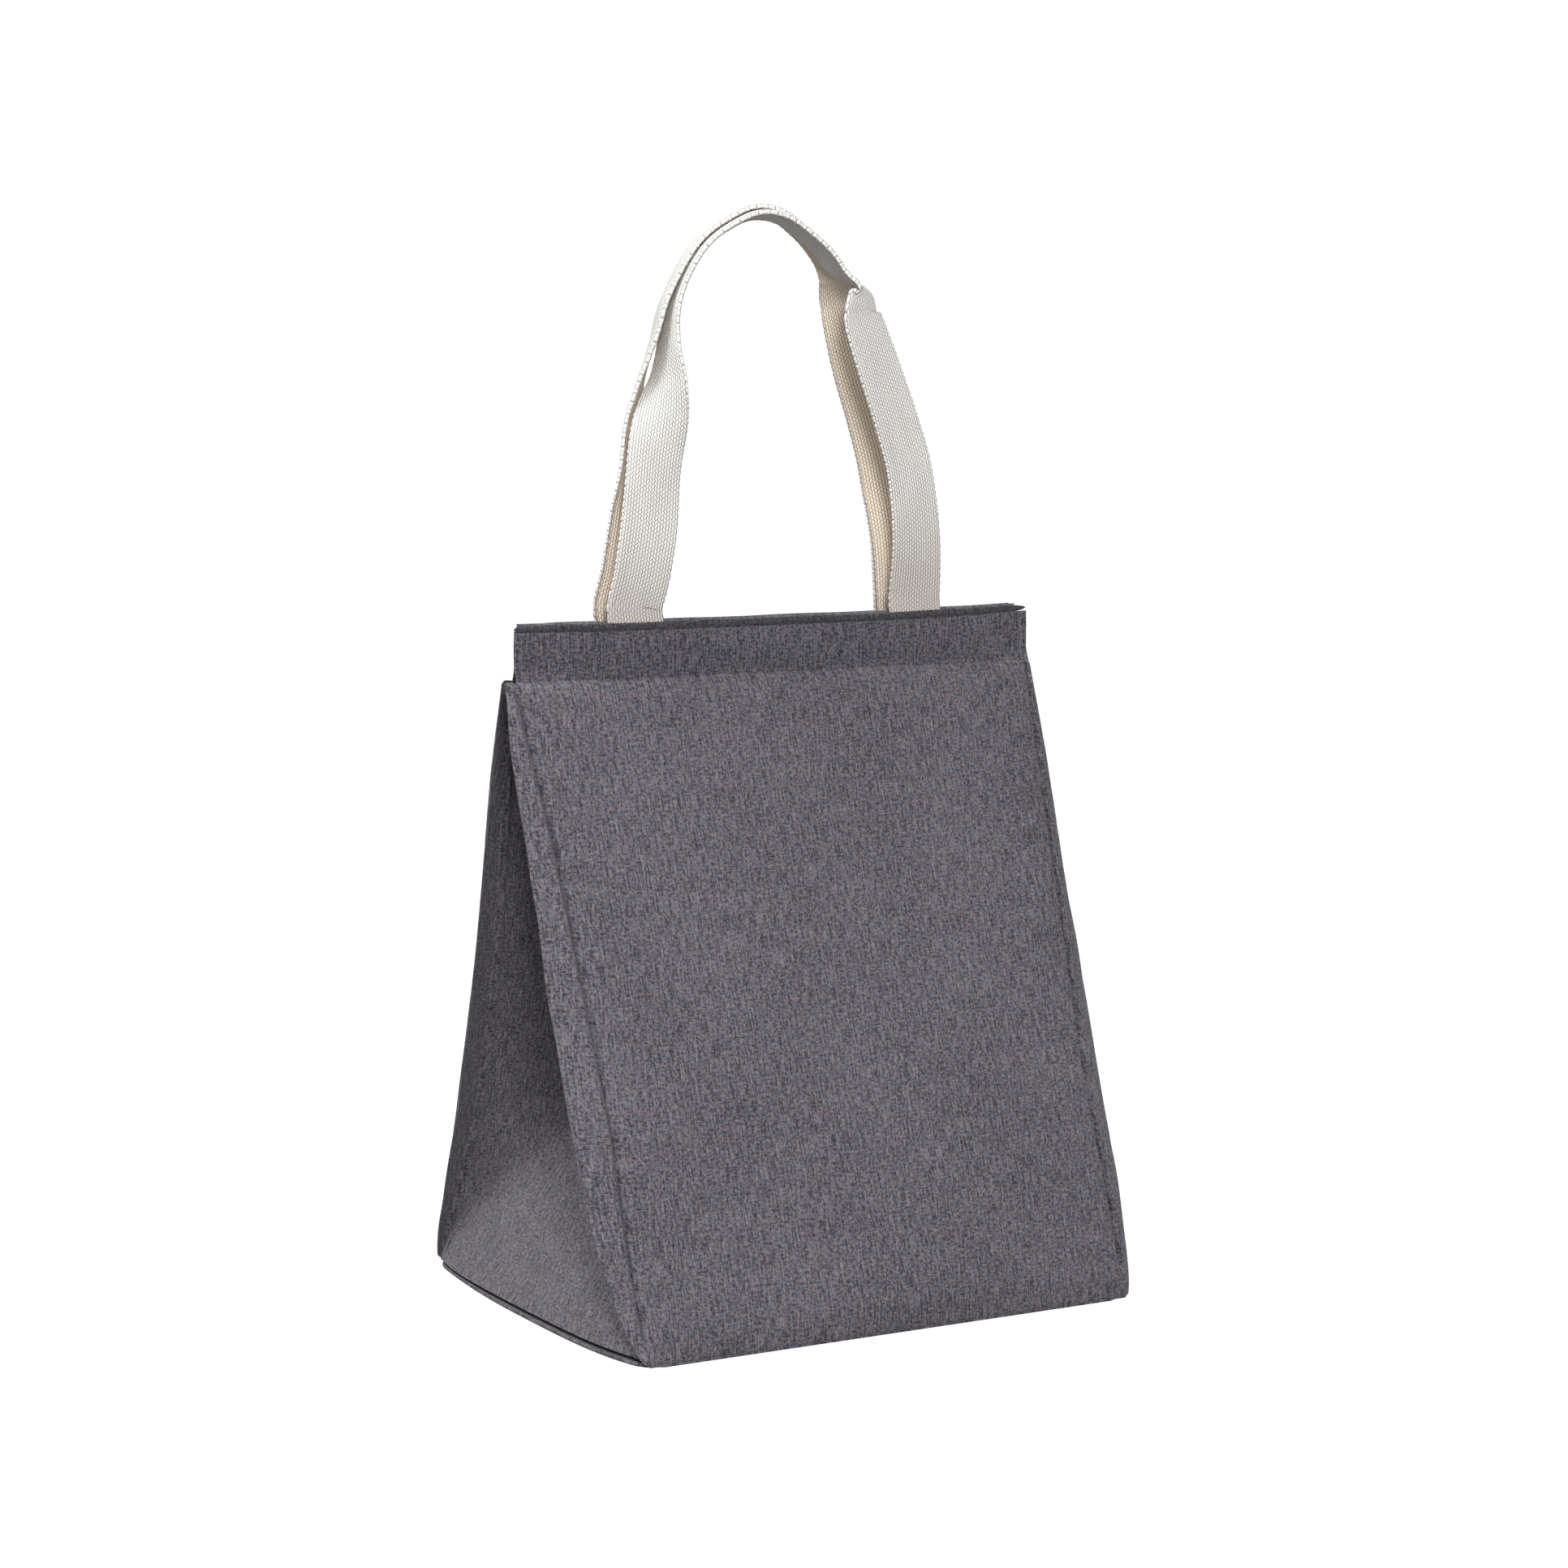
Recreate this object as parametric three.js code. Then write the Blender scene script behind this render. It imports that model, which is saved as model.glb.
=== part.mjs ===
// A folding cooler bag: a padded, foil-lined body shaped like a tent, with side gussets that fold
// inwards, a touch-fastened band along the mouth and two webbing handles.
// Millimetres, +Z up. X runs across the front, -Y is the front, and the origin is the middle of the base.
import * as THREE from "three";

// Driving dimensions of the body
const baseWidth = 225; // across the front at the floor
const topWidth = 247; // across the front at the panels' top edge
const baseDepth = 206; // front to back at the floor
const panelHeight = 261; // floor to the panels' top edge
const sideBow = 4; // how far each side of the base bows out at its middle

// Driving dimensions of the closure band
const bandWidth = 243;
const bandHeight = 22.5; // above the panels' top edge
const bandTuck = 5; // how far the band reaches down behind the panel
const hemHeight = 4; // rolled hem along the band's top edge
const hemBead = 0.7; // how far the rolled hem stands proud
const tapeWidth = 20; // hook and loop tapes, top to bottom
const tapeEndInset = 5; // from the band's end to the tape's end
const tapeDrop = 1.5; // from the band's top edge to the tape

// Thicknesses of the layers
const clothThickness = 0.8;
const wallFoamThickness = 3;
const gussetFoamThickness = 1.6;
const liningThickness = 0.4;
const boardThickness = 2;
const facingThickness = 2.4; // the band's inner cloth, turned in three deep
const tapeThickness = 2;
const layerGap = 0.3; // between layers that lie on each other
const tapeGap = 0.4; // between the closed hook and loop tapes

// Seams and folds
const seamMarginFoot = 2; // width of the pinched edge seam at the floor
const seamMarginWide = 11; // and at its widest
const seamMarginTop = 7; // and at the panel's top edge
const seamWideHeight = 70; // height at which the edge seam is widest
const foldTilt = THREE.MathUtils.degToRad(30); // lean of the gusset's lower triangle
const foldPeak = 95; // height at which the two slanting creases meet
const foldDepthTop = 60; // how deep the gusset is folded in at its top
const valleyHalf = 1.2; // half the gap in the closed fold
const foamSeamClearance = 10; // from the stitched edge seam to the wall's foam
const creaseClearance = 0.12; // share of a gusset facet left bare at each crease
const padEndClearance = 22; // from the ends of a gusset facet to its foam pad
const shoulderEase = 2; // extra cloth where the gusset turns from the seam into its fold
const shoulderMost = 0.8; // that turn lies within this share of the fold's depth

// Handles
const strapWidth = 25.4;
const strapThickness = 2.2;
const strapSpacing = 133; // between the two legs of a handle, at their feet
const tailLength = 24; // sewn down inside the band
const tailStand = 6; // stands out of the band, and bends when the handle swings
const handleRise = 162; // from the tails' top to the middle of the grip
const archSpacing = 4; // front strap to back strap on the arch, front to back
const archGap = 2; // between them there, where the front strap lies inside the back one
const archRoll = THREE.MathUtils.degToRad(12); // the straps' front edges are lifted by this there
const legBulge = 11; // how much further apart the straps stand while their legs turn
const turnStart = 0.3; // shares of the rise between which a leg turns from flat to edge on
const turnEnd = 0.8;

// The steps of the curved pieces
const strapSteps = 60;
const hemSteps = 6;
const bowSteps = 8;
const foldSteps = 2; // on each half of a gusset's lower triangle
const rowHeight = 20;

const clothGrey = 0x6b6970;
const clothShade = 0x56545c;
const foilSilver = 0xc4c7cb;
const foamWhite = 0xe9e9e4;
const webbingCream = 0xe0dccf;
const tapeGrey = 0x4c4b52;
const boardGrey = 0x8a8a86;

const { lerp, clamp, smoothstep } = THREE.MathUtils;

// Half the band's thickness, from the middle of the closed mouth to the band's outer face
const tapeFace = tapeGap / 2;
const facingFace = tapeFace + tapeThickness + layerGap;
const tailFace = facingFace + facingThickness + layerGap;
const bandLeafFace = tailFace + strapThickness + layerGap;
const bandHalf = bandLeafFace + clothThickness;
const strapFootY = tailFace + strapThickness / 2;
const bandTop = panelHeight + bandHeight;
const bandFoot = panelHeight - bandTuck;
const tailTop = bandTop + tailStand;
const strapFootZ = tailTop + layerGap;

// The walls lean towards each other, so a layer's thickness is a little more when measured level
const lean = Math.atan2(baseDepth / 2 - bandHalf - clothThickness, panelHeight);
const level = (thickness) => thickness / Math.cos(lean);
const topHalf = bandHalf + layerGap + level(clothThickness);
const wallStack = clothThickness + wallFoamThickness + liningThickness + 2 * layerGap;
const gussetStack = clothThickness + gussetFoamThickness + liningThickness + 2 * layerGap;
const foamDepth = clothThickness + layerGap;
const wallLiningDepth = foamDepth + wallFoamThickness + layerGap;
const gussetLiningDepth = foamDepth + gussetFoamThickness + layerGap;
const innerTop = bandFoot - layerGap;
const clothFoot = clothThickness + layerGap;

// Heights at which the foam pads of the gussets start and stop
const lowerFoamTop = foldPeak - padEndClearance;
const facetFoamFoot = padEndClearance;
const facetFoamTop = innerTop - padEndClearance;

// The inside of the base is this high
const boardFoot = clothFoot;
const baseFoamFoot = boardFoot + boardThickness + layerGap;
const baseLiningFoot = baseFoamFoot + wallFoamThickness + layerGap;
const baseTop = baseLiningFoot + liningThickness;

// Below this height the edge seam narrows into the corner of the base
const sideSlope = (topWidth - baseWidth) / 2 / panelHeight;
const foldSlope = sideSlope + Math.tan(foldTilt);
const marginSlope = (seamMarginWide - seamMarginFoot) / seamWideHeight;
const allowanceFoot = seamMarginFoot / (foldSlope / 2 - marginSlope);

// Half the body's width at the outside of the panels, at height z
function sideAt(z) {
  return baseWidth / 2 + sideSlope * z;
}

// Distance from the middle plane to the outside of a panel, at height z
function wallAt(z) {
  return lerp(baseDepth / 2, topHalf, z / panelHeight);
}

// Width of the pinched edge seam at height z: narrow at the floor, widest low down, narrower at the top
function seamMarginAt(z) {
  if (z < seamWideHeight) return seamMarginFoot + marginSlope * z;
  return lerp(seamMarginWide, seamMarginTop, (z - seamWideHeight) / (panelHeight - seamWideHeight));
}

// How far the base's side bows out, at distance y from the middle
function bowAt(y) {
  return sideBow * (1 - (y / (baseDepth / 2)) ** 2);
}

// Heights of the rows that every wall and gusset layer shares, from foot to top
const footBends = [clothFoot, baseTop, allowanceFoot, facetFoamFoot];
const foldBends = [lowerFoamTop, seamWideHeight, foldPeak, facetFoamTop, innerTop, panelHeight];
const bends = [...footBends, ...foldBends].sort((a, b) => a - b);
function rowsBetween(foot, top) {
  const rows = [foot];
  for (const bend of bends.filter((z) => z > foot).map((z) => Math.min(z, top))) {
    const last = rows[rows.length - 1];
    const steps = Math.ceil((bend - last) / rowHeight);
    for (let k = 1; k <= steps; k++) rows.push(last + ((bend - last) * k) / steps);
  }
  return rows;
}

const evenly = (count) => Array.from({ length: count + 1 }, (_, k) => k / count);

// A closed sheet between two faces, each a function of (u, v) giving [x, y, z]
// us and vs are the values of u and v that its points are worked out at
function slab(us, vs, faceA, faceB) {
  const columns = us.length - 1;
  const rows = vs.length - 1;
  const positions = [faceA, faceB].flatMap((face) => vs.flatMap((v) => us.flatMap((u) => face(u, v))));
  const index = [];
  const stride = columns + 1;
  const layer = stride * (rows + 1);
  const quad = (a, b, c, d) => index.push(a, b, c, a, c, d);
  for (let j = 0; j < rows; j++) {
    for (let i = 0; i < columns; i++) {
      const a = j * stride + i;
      quad(a, a + 1, a + stride + 1, a + stride);
      quad(layer + a, layer + a + stride, layer + a + stride + 1, layer + a + 1);
    }
  }
  const rim = [];
  for (let i = 0; i < columns; i++) rim.push(i);
  for (let j = 0; j < rows; j++) rim.push(j * stride + columns);
  for (let i = columns; i > 0; i--) rim.push(rows * stride + i);
  for (let j = rows; j > 0; j--) rim.push(j * stride);
  rim.forEach((p, k) => {
    const q = rim[(k + 1) % rim.length];
    quad(q, p, layer + p, layer + q);
  });
  return facingOut(positions, index);
}

// A geometry whose faces point out: turned round if its volume comes out negative
function facingOut(positions, index) {
  const corner = (k) => new THREE.Vector3().fromArray(positions, 3 * index[k]);
  let volume = 0;
  for (let k = 0; k < index.length; k += 3) {
    volume += corner(k).dot(corner(k + 1).cross(corner(k + 2)));
  }
  if (volume < 0) index.reverse();
  const geometry = new THREE.BufferGeometry();
  geometry.setAttribute("position", new THREE.Float32BufferAttribute(positions, 3));
  geometry.setIndex(index);
  geometry.computeVertexNormals();
  return geometry;
}

const bag = new THREE.Group();

function add(name, color, roughness, metalness, geometry) {
  const finish = new THREE.MeshStandardMaterial({ color, roughness, metalness });
  const mesh = new THREE.Mesh(geometry, finish);
  mesh.name = name;
  bag.add(mesh);
}

const addCloth = (name, geometry, color = clothGrey) => add(name, color, 0.95, 0, geometry);
const addFoam = (name, geometry) => add(name, foamWhite, 0.9, 0, geometry);
const addFoil = (name, geometry) => add(name, foilSilver, 0.35, 0.8, geometry);

// One layer of a leaning wall, between two depths below the panel's outer face
// side is -1 for the front wall and 1 for the back wall
function wallLayer(side, depth, thickness, halfWidth, foot, top) {
  const face = (inset) => (u, z) => [u * halfWidth(z), side * (wallAt(z) - level(inset)), z];
  return slab([-1, 1], rowsBetween(foot, top), face(depth), face(depth + thickness));
}

// The second layer of the pinched edge seam, behind the panel's margin
function seamAllowance(side, hand) {
  const face = (inset) => (u, z) => {
    const x = sideAt(z) - u * (seamStart(z) - layerGap);
    return [hand * x, side * (wallAt(z) - level(inset)), z];
  };
  const rows = rowsBetween(allowanceFoot, innerTop);
  return slab([0, 1], rows, face(foamDepth), face(foamDepth + clothThickness));
}

// How far inwards of the side the gusset's slanting crease or its valley lies, at height z
function foldInset(z) {
  if (z < foldPeak) return foldSlope * z;
  return lerp(foldSlope * foldPeak, foldDepthTop, (z - foldPeak) / (innerTop - foldPeak));
}

// How far inwards of the side the stitched seam lies, where the gusset starts, at height z
function seamStart(z) {
  return Math.min(seamMarginAt(z), foldInset(z) / 2);
}

// The gusset's cloth in plan at height z, from the front seam round the fold to the back seam,
// as [x, y] points for the +X side
function foldPath(z) {
  const side = sideAt(z);
  const reach = wallAt(z);
  const seamY = reach - level(clothThickness) - layerGap;
  const stack = level(wallStack) + 2 * layerGap + gussetStack;
  const slack = Math.max(0, 1 - z / foldPeak);
  const foldY = Math.max(valleyHalf, Math.min((baseDepth / 2) * slack, reach - stack - layerGap));
  const shoulderY = Math.max(reach - stack, foldY);
  const turnInset = seamMarginAt(z) + gussetStack + shoulderEase;
  const shoulderInset = Math.min(turnInset, shoulderMost * foldInset(z));
  const half = [
    [side - seamStart(z), seamY],
    [side - shoulderInset, shoulderY],
  ];
  for (let k = 0; k <= foldSteps; k++) {
    const y = foldY * (1 - k / foldSteps);
    half.push([side - foldInset(z) + bowAt(y) * slack, y]);
  }
  const back = half.slice(0, -1).reverse();
  return [...half.map(([x, y]) => [x, -y]), ...back];
}

// The path's points: a seam, a shoulder and a crease at each end, with the lower triangle between the creases
const frontCrease = 2;
const backCrease = frontCrease + 2 * foldSteps;
const pathEnd = backCrease + frontCrease;

// The pad of a facet between two path points leaves a little of it bare, so that the gusset folds there
const padBetween = (from, to) => [lerp(from, to, creaseClearance), lerp(to, from, creaseClearance)];
const frontPad = padBetween(frontCrease - 1, frontCrease);
const lowerPad = padBetween(frontCrease, backCrease);
const backPad = padBetween(backCrease, backCrease + 1);
const middleOf = ([from, to]) => (from + to) / 2;

// Places on the path that every gusset layer shares, counted in path points
const pathPoints = Array.from({ length: pathEnd + 1 }, (_, k) => k);
const padPlaces = [frontPad, lowerPad, backPad].flatMap((pad) => [...pad, middleOf(pad)]);
const pathPlaces = [...new Set([...pathPoints, ...padPlaces])].sort((a, b) => a - b);

// The same path moved inwards by depth, with mitred corners, and its ends kept at the seams' y
function insetPath(z, depth) {
  const path = foldPath(z).map((p) => new THREE.Vector2(...p));
  const inward = (a, b) => {
    const run = b.clone().sub(a).normalize();
    return new THREE.Vector2(-run.y, run.x);
  };
  return path.map((point, k) => {
    const before = inward(path[Math.max(k - 1, 0)], path[Math.max(k, 1)]);
    const after = inward(path[Math.min(k, pathEnd - 1)], path[Math.min(k + 1, pathEnd)]);
    if (k === 0) return new THREE.Vector2(point.x + depth / after.x, point.y);
    if (k === pathEnd) return new THREE.Vector2(point.x + depth / before.x, point.y);
    const middle = before.clone().add(after).normalize();
    return point.clone().addScaledVector(middle, depth / middle.dot(after));
  });
}

// A point of a path at place t, counted in path points
function along(path, t) {
  const k = clamp(Math.floor(t), 0, pathEnd - 1);
  return path[k].clone().lerp(path[k + 1], t - k);
}

// One layer of a gusset, or of the pad of one facet, between two places on the path
// hand is 1 for the +X side and -1 for the -X side
function gussetLayer(hand, depth, thickness, foot, top, from, to) {
  const face = (inset) => (t, z) => {
    const p = along(insetPath(z, inset), t);
    return [hand * p.x, p.y, z];
  };
  const places = pathPlaces.filter((t) => t >= from && t <= to);
  return slab(places, rowsBetween(foot, top), face(depth), face(depth + thickness));
}

// A level layer of the base, between two heights
function baseLayer(foot, thickness, halfWidth, halfDepth, bowed) {
  const face = (z) => (u, v) => {
    const y = v * halfDepth;
    return [u * (halfWidth + (bowed ? bowAt(y) : 0)), y, z];
  };
  const across = evenly(bowed ? bowSteps : 1).map((v) => 2 * v - 1);
  return slab([-1, 1], across, face(foot), face(foot + thickness));
}

// An upright layer of the closure band, from its face nearest the mouth's middle outwards
function bandLayer(side, near, thickness, centreX, halfWidth, foot, top) {
  const face = (y) => (u, z) => [centreX + u * halfWidth, side * y, z];
  return slab([-1, 1], [foot, top], face(near), face(near + thickness));
}

// The band's outer cloth, with the rolled hem standing proud along its top edge
function bandLeaf(side) {
  const hemRows = evenly(hemSteps).map((v) => lerp(bandTop - hemHeight, bandTop, v));
  const proud = (z) => hemBead * Math.sin(Math.PI * clamp((z - bandTop + hemHeight) / hemHeight, 0, 1));
  const outer = (u, z) => [(u * bandWidth) / 2, side * (bandHalf + proud(z)), z];
  const inner = (u, z) => [(u * bandWidth) / 2, side * bandLeafFace, z];
  return slab([-1, 1], [bandFoot, ...hemRows], outer, inner);
}

// A handle: a strap whose middle line is half an ellipse
// Each leg leaves the band flat and turns edge on. The inner edges of the front strap and the outer edges
// of the back strap come to the front, so the front strap's arch lies inside the back strap's.
function handle(side) {
  const station = (v) => {
    const angle = Math.PI * v;
    const climb = Math.sin(angle);
    const turned = smoothstep(climb, turnStart, turnEnd);
    const bulge = legBulge * Math.sin(Math.PI * turned);
    const apart = lerp(2 * strapFootY, archSpacing, turned ** 4) + bulge;
    const nested = (side * turned * (strapThickness + archGap)) / 2;
    const half = strapSpacing / 2;
    const run = new THREE.Vector3(-half * Math.sin(angle), 0, handleRise * Math.cos(angle)).normalize();
    const out = new THREE.Vector3(run.z, 0, -run.x);
    const height = strapFootZ + handleRise * climb;
    const middle = new THREE.Vector3(half * Math.cos(angle), (side * apart) / 2, height);
    middle.addScaledVector(out, nested);
    const quarter = (Math.PI / 2) * turned;
    const turn = (side < 0 ? Math.PI - quarter : quarter) - archRoll * turned;
    const across = out.clone().multiplyScalar(Math.cos(turn));
    across.y -= Math.sin(turn);
    const normal = run.clone().cross(across).normalize();
    return { middle, across, normal };
  };
  const face = (offset) => (u, v) => {
    const { middle, across, normal } = station(v);
    middle.addScaledVector(across, (u * strapWidth) / 2);
    return middle.addScaledVector(normal, offset).toArray();
  };
  return slab([-1, 0, 1], evenly(strapSteps), face(-strapThickness / 2), face(strapThickness / 2));
}

// Base
const baseClothHalf = baseDepth / 2 - level(clothThickness) - layerGap;
const baseInnerHalfDepth = wallAt(baseTop) - level(wallStack) - 2 * layerGap;
const gussetLevel = gussetStack / Math.cos(foldTilt);
const baseInnerHalfWidth = baseWidth / 2 - baseTop * Math.tan(foldTilt) - gussetLevel - layerGap;
addCloth("base_panel", baseLayer(0, clothThickness, baseWidth / 2, baseClothHalf, true), clothShade);
const baseInner = (foot, thickness) =>
  baseLayer(foot, thickness, baseInnerHalfWidth, baseInnerHalfDepth, false);
add("base_board", boardGrey, 0.7, 0, baseInner(boardFoot, boardThickness));
addFoam("base_foam", baseInner(baseFoamFoot, wallFoamThickness));
addFoil("base_lining", baseInner(baseLiningFoot, liningThickness));

// Front and back walls with their bands and handles
const foamHalf = (z) => sideAt(z) - Math.max(seamStart(z), seamMarginFoot) - foamSeamClearance - gussetStack;
const tapeTop = bandTop - tapeDrop;
const walls = [
  { name: "front", side: -1, tape: "hook" },
  { name: "back", side: 1, tape: "loop" },
];
for (const { name, side, tape } of walls) {
  addCloth(name + "_panel", wallLayer(side, 0, clothThickness, sideAt, layerGap, panelHeight));
  const layer = (depth, thickness) => wallLayer(side, depth, thickness, foamHalf, clothFoot, innerTop);
  addFoam(name + "_foam", layer(foamDepth, wallFoamThickness));
  addFoil(name + "_lining", layer(wallLiningDepth, liningThickness));
  addCloth(name + "_left_seam_allowance", seamAllowance(side, -1));
  addCloth(name + "_right_seam_allowance", seamAllowance(side, 1));
  addCloth(name + "_band", bandLeaf(side), clothShade);
  const facing = bandLayer(side, facingFace, facingThickness, 0, bandWidth / 2, bandFoot, bandTop);
  addCloth(name + "_band_facing", facing, clothShade);
  const tapeHalf = bandWidth / 2 - tapeEndInset;
  const strip = bandLayer(side, tapeFace, tapeThickness, 0, tapeHalf, tapeTop - tapeWidth, tapeTop);
  add(tape + "_tape", tapeGrey, 0.85, 0, strip);
  for (const [hand, place] of [[-1, "left"], [1, "right"]]) {
    const centre = (hand * strapSpacing) / 2;
    const tailFoot = bandTop - tailLength;
    const tail = bandLayer(side, tailFace, strapThickness, centre, strapWidth / 2, tailFoot, tailTop);
    add(name + "_handle_" + place + "_tail", webbingCream, 0.9, 0, tail);
  }
}
add("front_handle", webbingCream, 0.9, 0, handle(-1));
add("back_handle", webbingCream, 0.9, 0, handle(1));

// Gussets
for (const [hand, place] of [[-1, "left"], [1, "right"]]) {
  const sheet = (depth, thickness, foot) =>
    gussetLayer(hand, depth, thickness, foot, innerTop, 0, pathEnd);
  addCloth(place + "_gusset", sheet(0, clothThickness, clothFoot));
  addFoil(place + "_gusset_lining", sheet(gussetLiningDepth, liningThickness, baseTop));
  const pad = (facet, foot, top) =>
    gussetLayer(hand, foamDepth, gussetFoamThickness, foot, top, ...facet);
  addFoam(place + "_gusset_lower_foam", pad(lowerPad, baseTop, lowerFoamTop));
  addFoam(place + "_gusset_front_foam", pad(frontPad, facetFoamFoot, facetFoamTop));
  addFoam(place + "_gusset_back_foam", pad(backPad, facetFoamFoot, facetFoamTop));
}

export default bag;
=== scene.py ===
# %% [markdown]
# # A folding cooler bag
# The bag is a tent of heather-grey cloth over foam and foil, with side gussets that fold inwards,
# a touch-fastened band along the mouth and two cream webbing handles.
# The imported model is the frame: it holds the sizes, the moving bodies and their joints.
# Everything here is a surface worked out with numpy round that frame, and it never moves a frame part.

# %% Load the frame
import math

import bpy
import numpy as np
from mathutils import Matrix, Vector


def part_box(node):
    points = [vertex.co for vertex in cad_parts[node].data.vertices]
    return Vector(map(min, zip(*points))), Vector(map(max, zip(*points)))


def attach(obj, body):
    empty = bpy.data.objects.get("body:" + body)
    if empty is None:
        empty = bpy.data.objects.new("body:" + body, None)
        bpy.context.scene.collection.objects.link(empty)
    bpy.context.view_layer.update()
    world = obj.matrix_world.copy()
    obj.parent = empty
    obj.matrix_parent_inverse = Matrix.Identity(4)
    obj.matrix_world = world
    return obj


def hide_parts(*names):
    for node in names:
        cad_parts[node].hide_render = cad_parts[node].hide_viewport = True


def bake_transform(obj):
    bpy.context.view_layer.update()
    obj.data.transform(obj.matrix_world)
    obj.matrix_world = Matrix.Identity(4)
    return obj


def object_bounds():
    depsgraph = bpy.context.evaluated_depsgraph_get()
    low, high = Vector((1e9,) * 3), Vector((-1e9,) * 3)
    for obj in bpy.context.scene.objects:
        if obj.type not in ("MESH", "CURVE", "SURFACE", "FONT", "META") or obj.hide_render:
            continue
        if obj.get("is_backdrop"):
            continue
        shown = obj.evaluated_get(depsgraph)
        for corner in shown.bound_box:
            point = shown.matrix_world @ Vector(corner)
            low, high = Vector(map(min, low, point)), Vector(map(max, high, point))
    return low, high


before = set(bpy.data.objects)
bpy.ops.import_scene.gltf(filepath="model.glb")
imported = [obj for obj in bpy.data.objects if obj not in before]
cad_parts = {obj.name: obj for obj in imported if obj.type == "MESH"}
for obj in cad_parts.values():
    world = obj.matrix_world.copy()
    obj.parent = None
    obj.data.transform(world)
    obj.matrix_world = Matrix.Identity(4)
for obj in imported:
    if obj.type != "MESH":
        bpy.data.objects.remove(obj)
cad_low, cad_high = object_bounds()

# %% [markdown]
# ## Sizes
# Lengths below are in millimetres, which suit cloth and thread, and `MM` turns them into metres when a
# mesh is made. The main sizes are read from the frame's own boxes, so the looks can't drift from it.

# %% Read the main sizes
MM = 0.001
X, Y, Z = 0, 1, 2


def reach(node, axis):
    """Lowest and highest place of a frame part along one axis, in millimetres."""
    low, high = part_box(node)
    return low[axis] / MM, high[axis] / MM


PANEL_FOOT, PANEL_TOP = reach("front_panel", Z)
TOP_HALF = reach("front_panel", X)[1]
FOOT_DEPTH = -reach("front_panel", Y)[0]
PANEL_INNER_TOP = -reach("front_panel", Y)[1]
BAND_HALF_WIDTH = reach("front_band", X)[1]
BAND_FOOT, BAND_TOP = reach("front_band", Z)
BAND_INNER = -reach("front_band", Y)[1]
TAIL_TOP = reach("front_handle_left_tail", Z)[1]
STRAP_FACES = [-y for y in reach("front_handle_left_tail", Y)]
BASE_HALF_WIDTH = reach("base_panel", X)[1]
BASE_HALF_DEPTH = reach("base_panel", Y)[1]
GUSSET_TOP = reach("left_gusset", Z)[1]
print(f"panel {2 * TOP_HALF:.0f} wide at the top, {PANEL_TOP:.0f} high, bag {2 * FOOT_DEPTH:.0f} deep")

# %% Sizes that the cloth adds
WALLS = (("front", -1.0), ("back", 1.0))
CLOTH = 0.8
SIDE_BOW = 4.0
FOOT_HALF = BASE_HALF_WIDTH - SIDE_BOW
WALL_TOP_Y = PANEL_INNER_TOP + 0.85
BAND_FACE = BAND_INNER + CLOTH

# %% [markdown]
# ## The body's shape as functions of height
# Each wall is a leaning trapezoid. The gusset between two walls folds inwards: near the floor it is one
# triangle that leans in, and above the point where its two slanting creases meet it is a deep valley.
# Writing these as functions of height lets the cloth, its stitching and its foil lining share them.


# %% Outline functions
def blend_step(value, low, high):
    """0 below low, 1 above high, and a smooth cubic step in between."""
    t = np.clip((value - low) / (high - low), 0.0, 1.0)
    return t * t * (3.0 - 2.0 * t)


def side_at(z):
    """Half the body's width: a straight line from the floor to the panels' top edge."""
    return FOOT_HALF + (TOP_HALF - FOOT_HALF) * z / PANEL_TOP


def wall_at(z):
    """Distance of a panel's outside from the middle plane: a straight lean from floor to top."""
    return FOOT_DEPTH + (WALL_TOP_Y - FOOT_DEPTH) * (z - PANEL_FOOT) / (PANEL_TOP - PANEL_FOOT)


def soft_least(a, b, softness):
    """The smaller of two values, with the corner between them rounded over the softness."""
    h = np.clip(0.5 + 0.5 * (b - a) / softness, 0.0, 1.0)
    return b + (a - b) * h - softness * h * (1.0 - h)


def smooth_values(share, *pairs):
    """A curve through (share, value) pairs: a cubic between neighbours, whose slope at a pair is the
    harmonic mean of the slopes on both sides, or none where they differ in sign."""
    places, values = np.array(pairs, dtype=float).T
    gaps = np.diff(places)
    rises = np.diff(values) / gaps
    before, after = rises[:-1], rises[1:]
    same = before * after > 0
    total = np.where(same, before + after, 1.0)
    inner = np.where(same, 2.0 * before * after / total, 0.0)
    slopes = np.concatenate([rises[:1], inner, rises[-1:]])
    k = np.clip(np.searchsorted(places, share) - 1, 0, len(gaps) - 1)
    t = (share - places[k]) / gaps[k]
    start = (1 + 2 * t) * (1 - t) ** 2 * values[k] + t * (1 - t) ** 2 * gaps[k] * slopes[k]
    return start + t**2 * (3 - 2 * t) * values[k + 1] + t**2 * (t - 1) * gaps[k] * slopes[k + 1]


FOLD_PEAK = 95.0
FOLD_DEPTH_PEAK = 55.0
FOLD_DEPTH_TOP = 60.0


def fold_inset(z):
    """Depth of the gusset's crease or valley below the side: a rising parabola up to the peak of the
    triangle, then a gently deepening valley."""
    triangle = 0.40 * z + 0.0019 * z**2
    above = (z - FOLD_PEAK) / (GUSSET_TOP - FOLD_PEAK)
    valley = FOLD_DEPTH_PEAK + (FOLD_DEPTH_TOP - FOLD_DEPTH_PEAK) * above
    return soft_least(triangle, valley, 9.0)


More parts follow.
